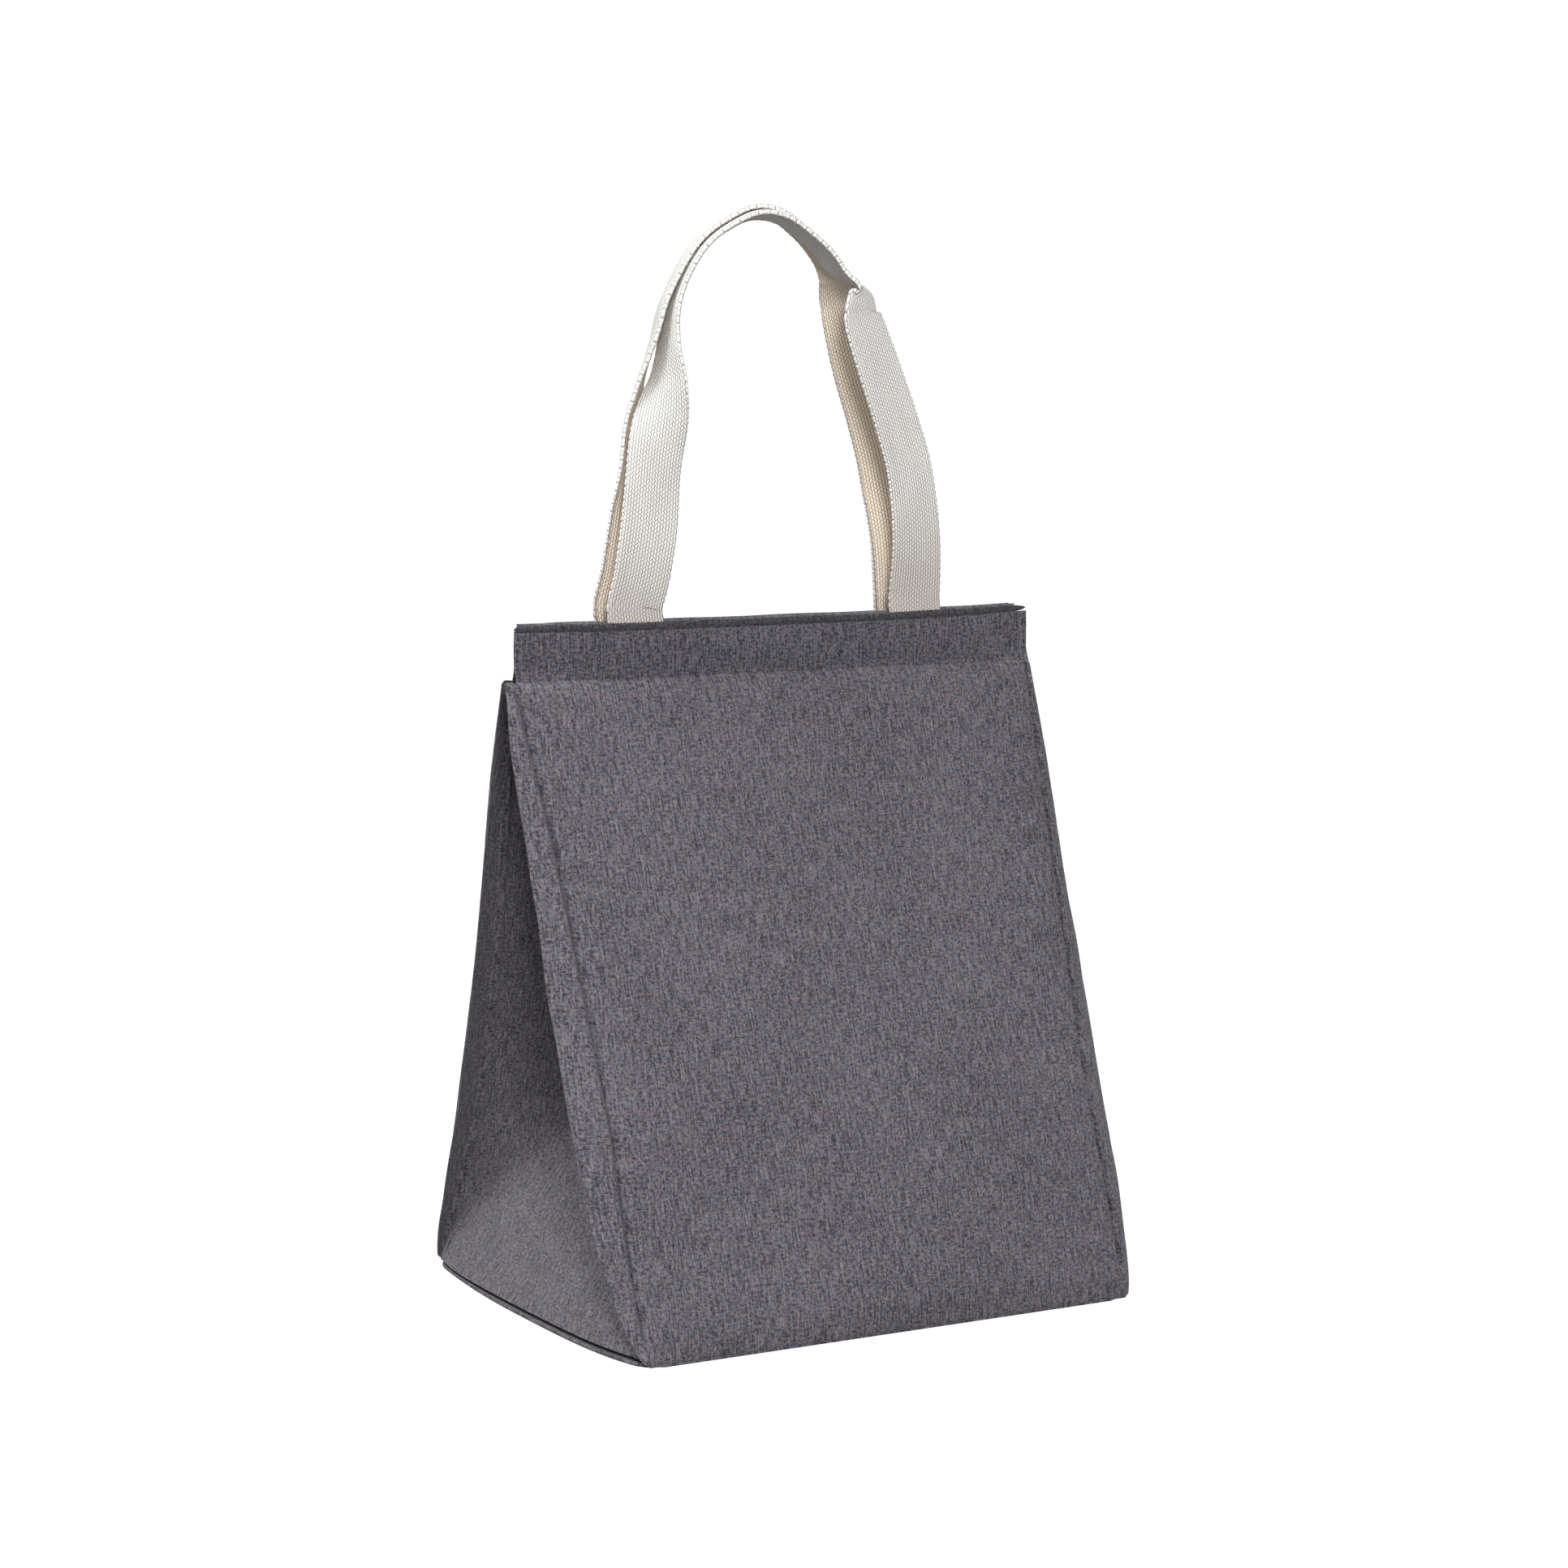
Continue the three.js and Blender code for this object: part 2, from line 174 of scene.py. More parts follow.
def seam_at(z, side, hand):
    """Half the width at the stitched seam, which runs a little inside the straight side. The back panel
    is drawn in further than the front one, and the front one's right side further than its left."""
    if side > 0:
        inset = smooth_values(
            z, (0, 2.6), (32, 7.8), (76, 12.9), (106, 13.8), (136, 13.4), (166, 11.8), (195, 10.2), (262, 5.2)
        )
        return side_at(z) - inset
    left = smooth_values(z, (0, 0.3), (30, 0.6), (100, 4.0), (190, 3.4), (250, 0.6), (262, 0.3))
    right = smooth_values(z, (0, 0.3), (30, 0.6), (100, 4.0), (190, 3.6), (250, 2.8), (262, 2.6))
    return side_at(z) - np.where(hand < 0, left, right)


def flange_width(z, hand):
    """Width of the pinched edge outside the seam, along the cloth: it grows out of the bottom corner, is
    widest low down and narrows towards the top."""
    left = smooth_values(z, (0, 1.2), (22, 8.0), (95, 15.6), (170, 12.2), (213, 10.0), (262, 3.4))
    right = smooth_values(z, (0, 3.0), (22, 7.0), (95, 11.5), (170, 7.6), (213, 6.6), (262, 2.2))
    return np.where(hand < 0, left, right)


FLANGE_TILT = math.radians(30.0)


def tip_at(z, side, hand):
    """Half the width at the flange's tip: the tilted flange's width as seen from the front."""
    return seam_at(z, side, hand) + flange_width(z, hand) * math.cos(FLANGE_TILT)


def flange_bend(x, z, side):
    """How far the flange is bent back towards the middle plane: none on the seam, all at the tip."""
    width = flange_width(z, x) * math.cos(FLANGE_TILT)
    past = np.clip((np.abs(x) - seam_at(z, side, x)) / width, 0.0, 1.0)
    return width * math.tan(FLANGE_TILT) * past**1.3


DIP_DEPTH = 3.0
DIP_HALF_WIDTH = 1.1
DIP_INSET = 0.6


def seam_dip(x, z, side):
    """The crease pressed in along the seam: a bell curve across it, fading out at the floor."""
    off = (np.abs(x) - seam_at(z, side, x) + DIP_INSET) / DIP_HALF_WIDTH
    return DIP_DEPTH * np.exp(-(off**2)) * blend_step(z, 3.0, 20.0)


for height in (10.0, 60.0, 150.0, 250.0):
    flange = float(flange_width(height, -1))
    print(f"z {height:.0f}: fold {fold_inset(height):.1f} deep, flange {flange:.1f} wide")

# %% [markdown]
# ## Turning grids into meshes
# A piece of cloth is two grids of points, its outside and its inside, joined round their rim. Working on
# whole arrays keeps this fast. The UV map holds millimetres along the cloth, so that a weave keeps its
# scale and stays on the cloth when it bends.


# %% Mesh helpers
def grid_quads(rows, columns, wrap=False):
    """Four corner numbers for each cell of a grid whose points are numbered row by row."""
    across = columns if wrap else columns - 1
    r, c = np.meshgrid(np.arange(rows - 1), np.arange(across), indexing="ij")
    here = (r * columns + c).ravel()
    beside = (r * columns + (c + 1) % columns).ravel()
    return np.stack([here, beside, beside + columns, here + columns], axis=1)


def signed_volume(points, quads):
    """Six times the volume: the sum of each face's triple product, positive if faces point out."""
    a, b, c, d = (points[quads[:, k]] for k in range(4))
    first = np.einsum("ij,ij->", a, np.cross(b, c))
    return first + np.einsum("ij,ij->", a, np.cross(c, d))


def make_object(name, points, quads, uv, sharp_angle=40.0):
    """A mesh object from points in millimetres, quads and one UV pair for each point."""
    if signed_volume(points, quads) < 0:
        quads = quads[:, ::-1]
    mesh = bpy.data.meshes.new(name)
    mesh.vertices.add(len(points))
    mesh.vertices.foreach_set("co", (points * MM).astype(np.float32).ravel())
    mesh.loops.add(quads.size)
    mesh.loops.foreach_set("vertex_index", quads.astype(np.int32).ravel())
    mesh.polygons.add(len(quads))
    mesh.polygons.foreach_set("loop_start", np.arange(0, quads.size, 4, dtype=np.int32))
    mesh.polygons.foreach_set("use_smooth", np.ones(len(quads), bool))
    layer = mesh.uv_layers.new(name="cloth")
    layer.data.foreach_set("uv", uv[quads.ravel()].astype(np.float32).ravel())
    mesh.update(calc_edges=True)
    mesh.validate()
    mesh.set_sharp_from_angle(angle=math.radians(sharp_angle))
    made = bpy.data.objects.new(name, mesh)
    bpy.context.scene.collection.objects.link(made)
    return made


def rim_of(rows, columns):
    """The grid's border points in order, once round."""
    numbers = np.arange(rows * columns).reshape(rows, columns)
    return np.concatenate([numbers[0, :-1], numbers[:-1, -1], numbers[-1, :0:-1], numbers[:0:-1, 0]])


def sheet(name, outside, inside, uv):
    """A closed piece of cloth: the outside grid, the inside grid and a strip that joins their rims."""
    rows, columns = outside.shape[:2]
    count = rows * columns
    face = grid_quads(rows, columns)
    rim = rim_of(rows, columns)
    after = np.roll(rim, -1)
    strip = np.stack([after, rim, rim + count, after + count], axis=1)
    quads = np.concatenate([face, face[:, ::-1] + count, strip])
    points = np.concatenate([outside.reshape(-1, 3), inside.reshape(-1, 3)])
    return make_object(name, points, quads, np.tile(uv.reshape(-1, 2), (2, 1)))


def stack(x, y, z):
    """Three arrays, stretched to one shape, as an array of points."""
    return np.stack(np.broadcast_arrays(x, y, z), axis=-1)


def uv_pairs(u, v):
    """Two arrays, stretched to one shape, as an array of UV pairs."""
    return np.stack(np.broadcast_arrays(u, v), axis=-1)


def make_tube(name, grid, uv):
    """A closed tube from a grid whose rows are rings: quads along it and a fan of triangles at each end."""
    rows, columns = grid.shape[:2]
    points = grid.reshape(-1, 3)
    quads = grid_quads(rows, columns, wrap=True)
    ring = np.arange(columns)
    caps = (ring, (rows - 1) * columns + ring[::-1])
    centres = np.array([points[cap].mean(axis=0) for cap in caps])
    count = len(points)
    fans = [np.stack([np.roll(cap, -1), cap, 0 * cap + count + k], axis=1) for k, cap in enumerate(caps)]
    triangles = np.concatenate(fans)
    points = np.concatenate([points, centres])
    uv = np.concatenate([uv.reshape(-1, 2), np.zeros((2, 2))])
    a, b, c = (points[triangles[:, k]] for k in range(3))
    if signed_volume(points, quads) + np.einsum("ij,ij->", a, np.cross(b, c)) < 0:
        quads, triangles = quads[:, ::-1], triangles[:, ::-1]
    mesh = bpy.data.meshes.new(name)
    mesh.from_pydata((points * MM).tolist(), [], quads.tolist() + triangles.tolist())
    layer = mesh.uv_layers.new(name="cloth")
    corners = np.concatenate([quads.ravel(), triangles.ravel()])
    layer.data.foreach_set("uv", uv[corners].astype(np.float32).ravel())
    mesh.polygons.foreach_set("use_smooth", np.ones(len(mesh.polygons), bool))
    mesh.update()
    made = bpy.data.objects.new(name, mesh)
    bpy.context.scene.collection.objects.link(made)
    return made


# %% [markdown]
# ## Node helpers
# A finish is a small graph of shader nodes. Patterns that several finishes share, such as the heather
# weave, are node groups with named inputs and outputs, so that a change to one reaches all of them.


# %% Node helpers
def wire(tree, value, socket):
    """Links a socket to another, or sets it to a plain value."""
    if isinstance(value, bpy.types.NodeSocket):
        tree.links.new(value, socket)
    else:
        socket.default_value = value


def calc(tree, operation, *values):
    """A Math node, and its result."""
    made = tree.nodes.new("ShaderNodeMath")
    made.operation = operation
    for value, socket in zip(values, made.inputs):
        wire(tree, value, socket)
    return made.outputs[0]


def noise(tree, vector, detail=2.0, roughness=0.5):
    """A Noise Texture at scale 1 on a vector that is already in the wanted units."""
    made = tree.nodes.new("ShaderNodeTexNoise")
    made.inputs["Scale"].default_value = 1.0
    made.inputs["Detail"].default_value = detail
    made.inputs["Roughness"].default_value = roughness
    wire(tree, vector, made.inputs["Vector"])
    return made.outputs[0]


def scaled(tree, vector, size):
    """A vector divided by a size along each axis, so that one pattern unit is that long."""
    made = tree.nodes.new("ShaderNodeVectorMath")
    made.operation = "DIVIDE"
    wire(tree, vector, made.inputs[0])
    made.inputs[1].default_value = size
    return made.outputs[0]


def colour_mix(tree, share, first, second):
    """The first colour at share 0 and the second at share 1."""
    made = tree.nodes.new("ShaderNodeMix")
    made.data_type = "RGBA"
    wire(tree, share, made.inputs["Factor"])
    wire(tree, first, made.inputs[6])
    wire(tree, second, made.inputs[7])
    return made.outputs[2]


def spread(tree, value, low, high):
    """Maps low to 0 and high to 1, held within those, with a smooth step."""
    made = tree.nodes.new("ShaderNodeMapRange")
    made.interpolation_type = "SMOOTHSTEP"
    wire(tree, value, made.inputs["Value"])
    made.inputs["From Min"].default_value = low
    made.inputs["From Max"].default_value = high
    return made.outputs["Result"]


def new_group(name, inputs, outputs):
    """A node group with the named inputs and outputs, and its input and output nodes."""
    group = bpy.data.node_groups.new(name, "ShaderNodeTree")
    for title, kind in inputs:
        group.interface.new_socket(name=title, in_out="INPUT", socket_type=kind)
    for title, kind in outputs:
        group.interface.new_socket(name=title, in_out="OUTPUT", socket_type=kind)
    return group, group.nodes.new("NodeGroupInput").outputs, group.nodes.new("NodeGroupOutput").inputs


VECTOR, COLOUR, VALUE = "NodeSocketVector", "NodeSocketColor", "NodeSocketFloat"


def finish_material(name, group, group_values, roughness, bump_height, metallic=0.0, sheen=0.0):
    """A Principled material whose colour and bump come from a pattern group on the cloth's own UV map."""
    made = bpy.data.materials.new(name)
    made.use_nodes = True
    tree = made.node_tree
    shader = tree.nodes["Principled BSDF"]
    place = tree.nodes.new("ShaderNodeUVMap")
    place.uv_map = "cloth"
    pattern = tree.nodes.new("ShaderNodeGroup")
    pattern.node_tree = group
    tree.links.new(place.outputs[0], pattern.inputs["Cloth"])
    for title, value in group_values.items():
        pattern.inputs[title].default_value = value
    tree.links.new(pattern.outputs["Colour"], shader.inputs["Base Color"])
    bump = tree.nodes.new("ShaderNodeBump")
    bump.inputs["Strength"].default_value = 1.0
    bump.inputs["Distance"].default_value = bump_height * MM
    tree.links.new(pattern.outputs["Height"], bump.inputs["Height"])
    tree.links.new(bump.outputs[0], shader.inputs["Normal"])
    shader.inputs["Roughness"].default_value = roughness
    shader.inputs["Metallic"].default_value = metallic
    shader.inputs["Sheen Weight"].default_value = sheen
    return made


# %% [markdown]
# ## The heather cloth
# The body is a plain weave of two-tone yarns. Each thread changes tone along its length, so the cloth
# looks mottled, with short pale slubs that run mostly up and down. Two noises stretched along the warp
# and the weft, woven together by a small checker, give that better than one even noise would.


# %% Heather weave group
YARN_PITCH = 1.1


def heather_group():
    """Colour: warp and weft tones picked by a sine checker, pushed apart between dark and light, with
    pale slubs. Height: the checker's rounded crossings."""
    group, given, out = new_group(
        "heather_weave",
        [("Cloth", VECTOR), ("Dark", COLOUR), ("Light", COLOUR), ("Warm", COLOUR), ("Slub", COLOUR)],
        [("Colour", COLOUR), ("Height", VALUE)],
    )
    cloth = given["Cloth"]
    warp = noise(group, scaled(group, cloth, (0.75, 8.0, 1.0)), 2.0, 0.6)
    weft = noise(group, scaled(group, cloth, (3.2, 0.55, 1.0)), 2.0, 0.6)
    grain = noise(group, scaled(group, cloth, (0.95, 1.25, 1.0)), 3.0, 0.68)
    cloud = noise(group, scaled(group, cloth, (48.0, 60.0, 1.0)), 2.0, 0.5)
    split = group.nodes.new("ShaderNodeSeparateXYZ")
    wire(group, cloth, split.inputs[0])
    turn = 2.0 * math.pi / YARN_PITCH
    across = calc(group, "SINE", calc(group, "MULTIPLY", split.outputs[0], turn))
    up = calc(group, "SINE", calc(group, "MULTIPLY", split.outputs[1], turn))
    crossing = calc(group, "MULTIPLY", across, up)
    pick = calc(group, "MULTIPLY_ADD", crossing, 0.12, 0.60)
    warp_part = calc(group, "MULTIPLY", warp, pick)
    woven = calc(group, "MULTIPLY_ADD", weft, calc(group, "SUBTRACT", 1.0, pick), warp_part)
    mixed = calc(group, "MULTIPLY_ADD", grain, 0.55, calc(group, "MULTIPLY", woven, 0.6))
    tone = calc(group, "MULTIPLY_ADD", cloud, 0.06, calc(group, "SUBTRACT", mixed, 0.105))
    tint = noise(group, scaled(group, cloth, (1.9, 2.3, 1.0)), 1.0, 0.5)
    light = colour_mix(group, spread(group, tint, 0.40, 0.60), given["Light"], given["Warm"])
    body = colour_mix(group, spread(group, tone, 0.385, 0.625), given["Dark"], light)
    strand = noise(group, scaled(group, cloth, (0.42, 9.0, 1.0)), 1.0, 0.5)
    slub = calc(group, "MULTIPLY", spread(group, strand, 0.64, 0.78), 0.6)
    wire(group, colour_mix(group, slub, body, given["Slub"]), out["Colour"])
    relief = calc(group, "MULTIPLY_ADD", calc(group, "ABSOLUTE", crossing), 0.5, woven)
    wire(group, relief, out["Height"])
    return group


HEATHER = heather_group()
BODY_TONES = {
    "Dark": (0.022, 0.020, 0.029, 1.0),
    "Light": (0.156, 0.157, 0.190, 1.0),
    "Warm": (0.210, 0.178, 0.195, 1.0),
    "Slub": (0.34, 0.315, 0.33, 1.0),
}
BAND_TONES = {
    "Dark": (0.012, 0.011, 0.018, 1.0),
    "Light": (0.150, 0.144, 0.178, 1.0),
    "Warm": (0.174, 0.155, 0.172, 1.0),
    "Slub": (0.24, 0.225, 0.245, 1.0),
}
# Painted shade: the hem's tones are the band's cloth at about half its brightness, for the shaded roll.
SHADED_HEM_TONES = {
    "Dark": (0.006, 0.006, 0.010, 1.0),
    "Light": (0.078, 0.074, 0.092, 1.0),
    "Warm": (0.090, 0.080, 0.090, 1.0),
    "Slub": (0.18, 0.168, 0.185, 1.0),
}
body_cloth = finish_material("heather_cloth", HEATHER, BODY_TONES, 0.92, 0.16, sheen=0.12)
band_cloth = finish_material("heather_band", HEATHER, BAND_TONES, 0.93, 0.16, sheen=0.10)
shaded_hem_cloth = finish_material("heather_hem_painted_shade", HEATHER, SHADED_HEM_TONES, 0.93, 0.16, sheen=0.06)
print("cloth finishes:", body_cloth.name, band_cloth.name, shaded_hem_cloth.name)

# %% [markdown]
# ## The webbing
# The handles are heavy cotton webbing: columns of plump stitches, each column shifted half a stitch
# against its neighbour and leaning the other way, which makes a fine herringbone. A repeating cell with
# a domed stitch in it gives both the relief and the warm shadow between stitches. The face that turns
# towards the other strap, and the yarn near both feet, get darker tones as painted shade.


# %% Webbing group
COLUMN_WIDTH = 1.27
STITCH_LENGTH = 1.8
DOME_RADIUS = 0.56
OUTER_FACE_UV = 40.0
INNER_FACE_UV = 141.0
STRAP_LENGTH = 432.0


def webbing_group():
    """Each cell is a column wide and a stitch long. Inside it the stitch is a dome whose height is the
    square root of one less the squared distance from the cell's middle."""
    tones = [(title, COLOUR) for title in ("Yarn", "Gap", "Inner_shade", "Foot_shade")]
    group, given, out = new_group(
        "webbing_weave",
        [("Cloth", VECTOR), *tones, ("Length", VALUE)],
        [("Colour", COLOUR), ("Height", VALUE)],
    )
    cloth = given["Cloth"]
    split = group.nodes.new("ShaderNodeSeparateXYZ")
    wire(group, cloth, split.inputs[0])
    column = calc(group, "DIVIDE", split.outputs[0], COLUMN_WIDTH)
    odd = calc(group, "MODULO", calc(group, "ABSOLUTE", calc(group, "FLOOR", column)), 2.0)
    in_column = calc(group, "SUBTRACT", calc(group, "FRACT", column), 0.5)
    lean = calc(group, "MULTIPLY", in_column, calc(group, "MULTIPLY_ADD", odd, 0.9, -0.45))
    along = calc(group, "DIVIDE", split.outputs[1], STITCH_LENGTH)
    shifted = calc(group, "MULTIPLY_ADD", odd, 0.5, calc(group, "ADD", along, lean))
    in_stitch = calc(group, "SUBTRACT", calc(group, "FRACT", shifted), 0.5)
    wide = calc(group, "POWER", calc(group, "ABSOLUTE", calc(group, "DIVIDE", in_column, DOME_RADIUS)), 2.0)
    long = calc(group, "POWER", calc(group, "ABSOLUTE", calc(group, "DIVIDE", in_stitch, DOME_RADIUS)), 2.0)
    left = calc(group, "SUBTRACT", 1.0, calc(group, "ADD", wide, long))
    dome = calc(group, "SQRT", calc(group, "MAXIMUM", left, 0.0))
    fibre = noise(group, scaled(group, cloth, (0.5, 2.2, 1.0)), 3.0, 0.6)
    cloud = noise(group, scaled(group, cloth, (9.0, 26.0, 1.0)), 2.0, 0.5)
    domed = spread(group, dome, 0.05, 0.8)
    lit = calc(group, "MULTIPLY_ADD", calc(group, "SUBTRACT", cloud, 0.5), 0.35, domed)
    # Painted shade: past half of INNER_FACE_UV on the UV map lies the face towards the other strap, which
    # takes the Inner tone.
    inside = calc(group, "GREATER_THAN", split.outputs[0], INNER_FACE_UV / 2)
    # Painted shade: within a few centimetres of each end the yarn turns to the greyer Foot tone, where the
    # strap bends down into the band.
    far_end = calc(group, "SUBTRACT", given["Length"], split.outputs[1])
    end_place = calc(group, "MINIMUM", split.outputs[1], far_end)
    foot_shade_share = calc(group, "SUBTRACT", 1.0, spread(group, end_place, 24.0, 72.0))
    outside = colour_mix(group, foot_shade_share, given["Yarn"], given["Foot_shade"])
    yarn = colour_mix(group, inside, outside, given["Inner_shade"])
    wire(group, colour_mix(group, lit, given["Gap"], yarn), out["Colour"])
    wire(group, calc(group, "MULTIPLY_ADD", fibre, 0.25, dome), out["Height"])
    return group


WEBBING = webbing_group()
YARN_TONES = {
    "Yarn": (0.89, 0.88, 0.84, 1.0),
    "Gap": (0.31, 0.29, 0.265, 1.0),
    # The Foot tone is painted shade near both ends of the strap.
    "Foot_shade": (0.63, 0.58, 0.535, 1.0),
    "Length": STRAP_LENGTH,
}
# Each strap's Inner tone is painted shade on its face towards the other strap: slightly greyer on the front
# strap, warm tan on the back one.
FRONT_WEBBING = {**YARN_TONES, "Inner_shade": (0.86, 0.82, 0.79, 1.0)}
BACK_WEBBING = {**YARN_TONES, "Inner_shade": (0.89, 0.75, 0.59, 1.0)}
webbing = {
    "front": finish_material("cream_webbing", WEBBING, FRONT_WEBBING, 0.9, 0.45, sheen=0.05),
    "back": finish_material("cream_webbing_with_shaded_inside", WEBBING, BACK_WEBBING, 0.9, 0.45, sheen=0.05),
}
print("webbing finishes:", ", ".join(finish.name for finish in webbing.values()))

# %% [markdown]
# ## Foil, foam, board and tape
# Inside the bag is a silvery lining film, pressed with a fine diamond pattern and a little crumpled.
# The foam, the board and the fastening tapes are simple, and each still has its own grain.


# %% Foil group
def foil_group():
    """Height: crossed sine ribs for the pressed diamonds, over a soft crumple noise."""
    group, given, out = new_group(
        "pressed_foil",
        [("Cloth", VECTOR), ("Bright", COLOUR), ("Dull", COLOUR)],
        [("Colour", COLOUR), ("Height", VALUE)],
    )
    cloth = given["Cloth"]
    split = group.nodes.new("ShaderNodeSeparateXYZ")
    wire(group, cloth, split.inputs[0])
    turn = 2.0 * math.pi / 3.2
    rising = calc(group, "ADD", split.outputs[0], split.outputs[1])
    falling = calc(group, "SUBTRACT", split.outputs[0], split.outputs[1])
    ribs = calc(
        group,
        "MULTIPLY",
        calc(group, "SINE", calc(group, "MULTIPLY", rising, turn)),
        calc(group, "SINE", calc(group, "MULTIPLY", falling, turn)),
    )
    crumple = noise(group, scaled(group, cloth, (14.0, 17.0, 1.0)), 4.0, 0.6)
    wire(group, colour_mix(group, crumple, given["Dull"], given["Bright"]), out["Colour"])
    wire(group, calc(group, "MULTIPLY_ADD", crumple, 4.0, calc(group, "MULTIPLY", ribs, 0.3)), out["Height"])
    return group


# %% Grain group
def grain_group():
    """A fine noise for both the colour and the height, for tape and thread."""
    group, given, out = new_group(
        "fine_grain",
        [("Cloth", VECTOR), ("Bright", COLOUR), ("Dull", COLOUR)],
        [("Colour", COLOUR), ("Height", VALUE)],
    )
    speck = noise(group, scaled(group, given["Cloth"], (0.8, 0.8, 1.0)), 3.0, 0.7)
    shade = spread(group, speck, 0.3, 0.7)
    wire(group, colour_mix(group, shade, given["Dull"], given["Bright"]), out["Colour"])
    wire(group, speck, out["Height"])
    return group


def two_tone(bright, dull):
    """The values of a finish that has only a bright and a dull tone."""
    return {"Bright": (*bright, 1.0), "Dull": (*dull, 1.0)}


FOIL = foil_group()
GRAIN = grain_group()
FOIL_TONES = two_tone((0.78, 0.80, 0.83), (0.55, 0.57, 0.60))
TAPE_TONES = two_tone((0.085, 0.083, 0.095), (0.02, 0.02, 0.025))
THREAD_TONES = two_tone((0.10, 0.098, 0.115), (0.035, 0.034, 0.045))
PALE_THREAD_TONES = two_tone((0.24, 0.225, 0.24), (0.10, 0.095, 0.105))
foil = finish_material("silver_lining", FOIL, FOIL_TONES, 0.32, 0.25, metallic=0.85)
tape = finish_material("fastening_tape", GRAIN, TAPE_TONES, 0.95, 0.5)
thread = finish_material("dark_thread", GRAIN, THREAD_TONES, 0.8, 0.1)
pale_thread = finish_material("pale_thread", GRAIN, PALE_THREAD_TONES, 0.8, 0.1)
print("lining, tape and thread finishes ready")


# %% Finish for the hidden frame parts
def frame_material(name, bright, dull, size, roughness):
    """A grain on Object coordinates, for the foam and board that stay as the frame has them."""
    made = bpy.data.materials.new(name)
    made.use_nodes = True
    tree = made.node_tree
    shader = tree.nodes["Principled BSDF"]
    place = tree.nodes.new("ShaderNodeTexCoord")
    speck = noise(tree, scaled(tree, place.outputs["Object"], (size * MM,) * 3), 3.0, 0.7)
    wire(tree, colour_mix(tree, speck, dull, bright), shader.inputs["Base Color"])
    bump = tree.nodes.new("ShaderNodeBump")
    bump.inputs["Distance"].default_value = 0.2 * MM
    wire(tree, speck, bump.inputs["Height"])
    wire(tree, bump.outputs[0], shader.inputs["Normal"])
    shader.inputs["Roughness"].default_value = roughness
    return made


foam = frame_material("foam_sheet", (0.82, 0.82, 0.79, 1.0), (0.66, 0.66, 0.62, 1.0), 1.2, 0.9)
board = frame_material("fibre_board", (0.36, 0.35, 0.32, 1.0), (0.22, 0.21, 0.19, 1.0), 2.5, 0.8)


def dress(piece, material):
    """Gives a piece its one finish."""
    piece.data.materials.clear()
    piece.data.materials.append(material)
    return piece


for node in ("base_foam", "front_foam", "back_foam"):
    dress(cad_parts[node], foam)
dress(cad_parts["base_board"], board)

# %% [markdown]
# ## The two walls
# A wall is cloth over foam. Its sides are pinched and stitched to the gussets, so a narrow flat flange
# runs down each edge with a sunk line beside it, and between the two lines the padding pushes the
# cloth out. A few broad dents keep it from looking like a board. The wall is one grid: columns run
# from flange tip to flange tip and crowd round the sunk lines, rows run from the floor to the mouth.


# %% Wall surface
def edge_drop(distance, radius):
    """How far a rounded edge falls away at a distance from the rim: a quarter circle of that radius."""
    t = np.clip(1.0 - distance / radius, 0.0, 1.0)
    return radius * (1.0 - np.sqrt(1.0 - t * t))


def dents(x, z, side):
    """Broad shallow waves in the padding, a sum of slow sines that differs between the two walls."""
    phase = 0.9 if side < 0 else 2.6
    slow = np.sin(x / 41.0 + phase) * np.sin(z / 47.0 + 0.6 * phase)
    slant = np.sin(x / 27.0 - z / 35.0 + 2.0 * phase)
    fine = np.sin(x / 13.0 + 1.7 * np.sin(z / 29.0)) * np.sin(z / 17.0 + phase)
    return 0.9 * slow + 0.5 * slant + 0.18 * fine


def wall_out(x, z, side):
    """How far the cloth stands out of the wall's plane, from its distance to the sunk seam line: a
    narrow groove on the line, padding inside it and a bent-back flange outside it."""
    inside = seam_at(z, side, x) - np.abs(x)
    tip = tip_at(z, side, x) - np.abs(x)
    puffed = (2.4 + dents(x, z, side)) * (1.0 - np.exp(-np.clip(inside, 0.0, None) / 5.0))
    belly = 2.2 * np.exp(-(((z - 85.0) / 60.0) ** 2)) * (1.0 - (x / side_at(z)) ** 2)
    fade = blend_step(PANEL_TOP - z, -3.0, 9.0) * blend_step(z, -2.0, 16.0)
    rolled = edge_drop(z - PANEL_FOOT, 0.8) + np.clip(1.0 - (z - PANEL_FOOT) / 10.0, 0.0, 1.0) ** 2
    rim = edge_drop(tip, 0.5) + edge_drop(PANEL_TOP - z, 1.8) + rolled
    return (puffed + belly) * fade * (inside > 0) - seam_dip(x, z, side) - flange_bend(x, z, side) - rim


def wall_columns():
    """Places across the wall from 0 to 1: the seam lines lie at one tenth and nine tenths."""
    runs = [np.linspace(0.0, 0.085, 9), np.linspace(0.085, 0.125, 15), np.linspace(0.125, 0.5, 50)]
    left = np.concatenate([run[:-1] for run in runs])
    return np.concatenate([left, [0.5], 1.0 - left[::-1]])


def wall_x(share, z, side):
    """Turns places across the wall into x: a tenth for each flange, the rest between the seam lines."""
    hand = np.where(share < 0.5, -1.0, 1.0)
    tip, seam = tip_at(z, side, hand), seam_at(z, side, hand)
    near = np.minimum(share, 1.0 - share)
    flange = tip - (tip - seam) * near / 0.1
    middle = seam * (1.0 - (near - 0.1) / 0.4)
    return np.where(near < 0.1, flange, middle) * hand


def edge_waver(z):
    """Slight unevenness of the flanges' outer edges."""
    return 0.35 * np.sin(z / 19.0) + 0.25 * np.sin(z / 7.3 + 1.0)


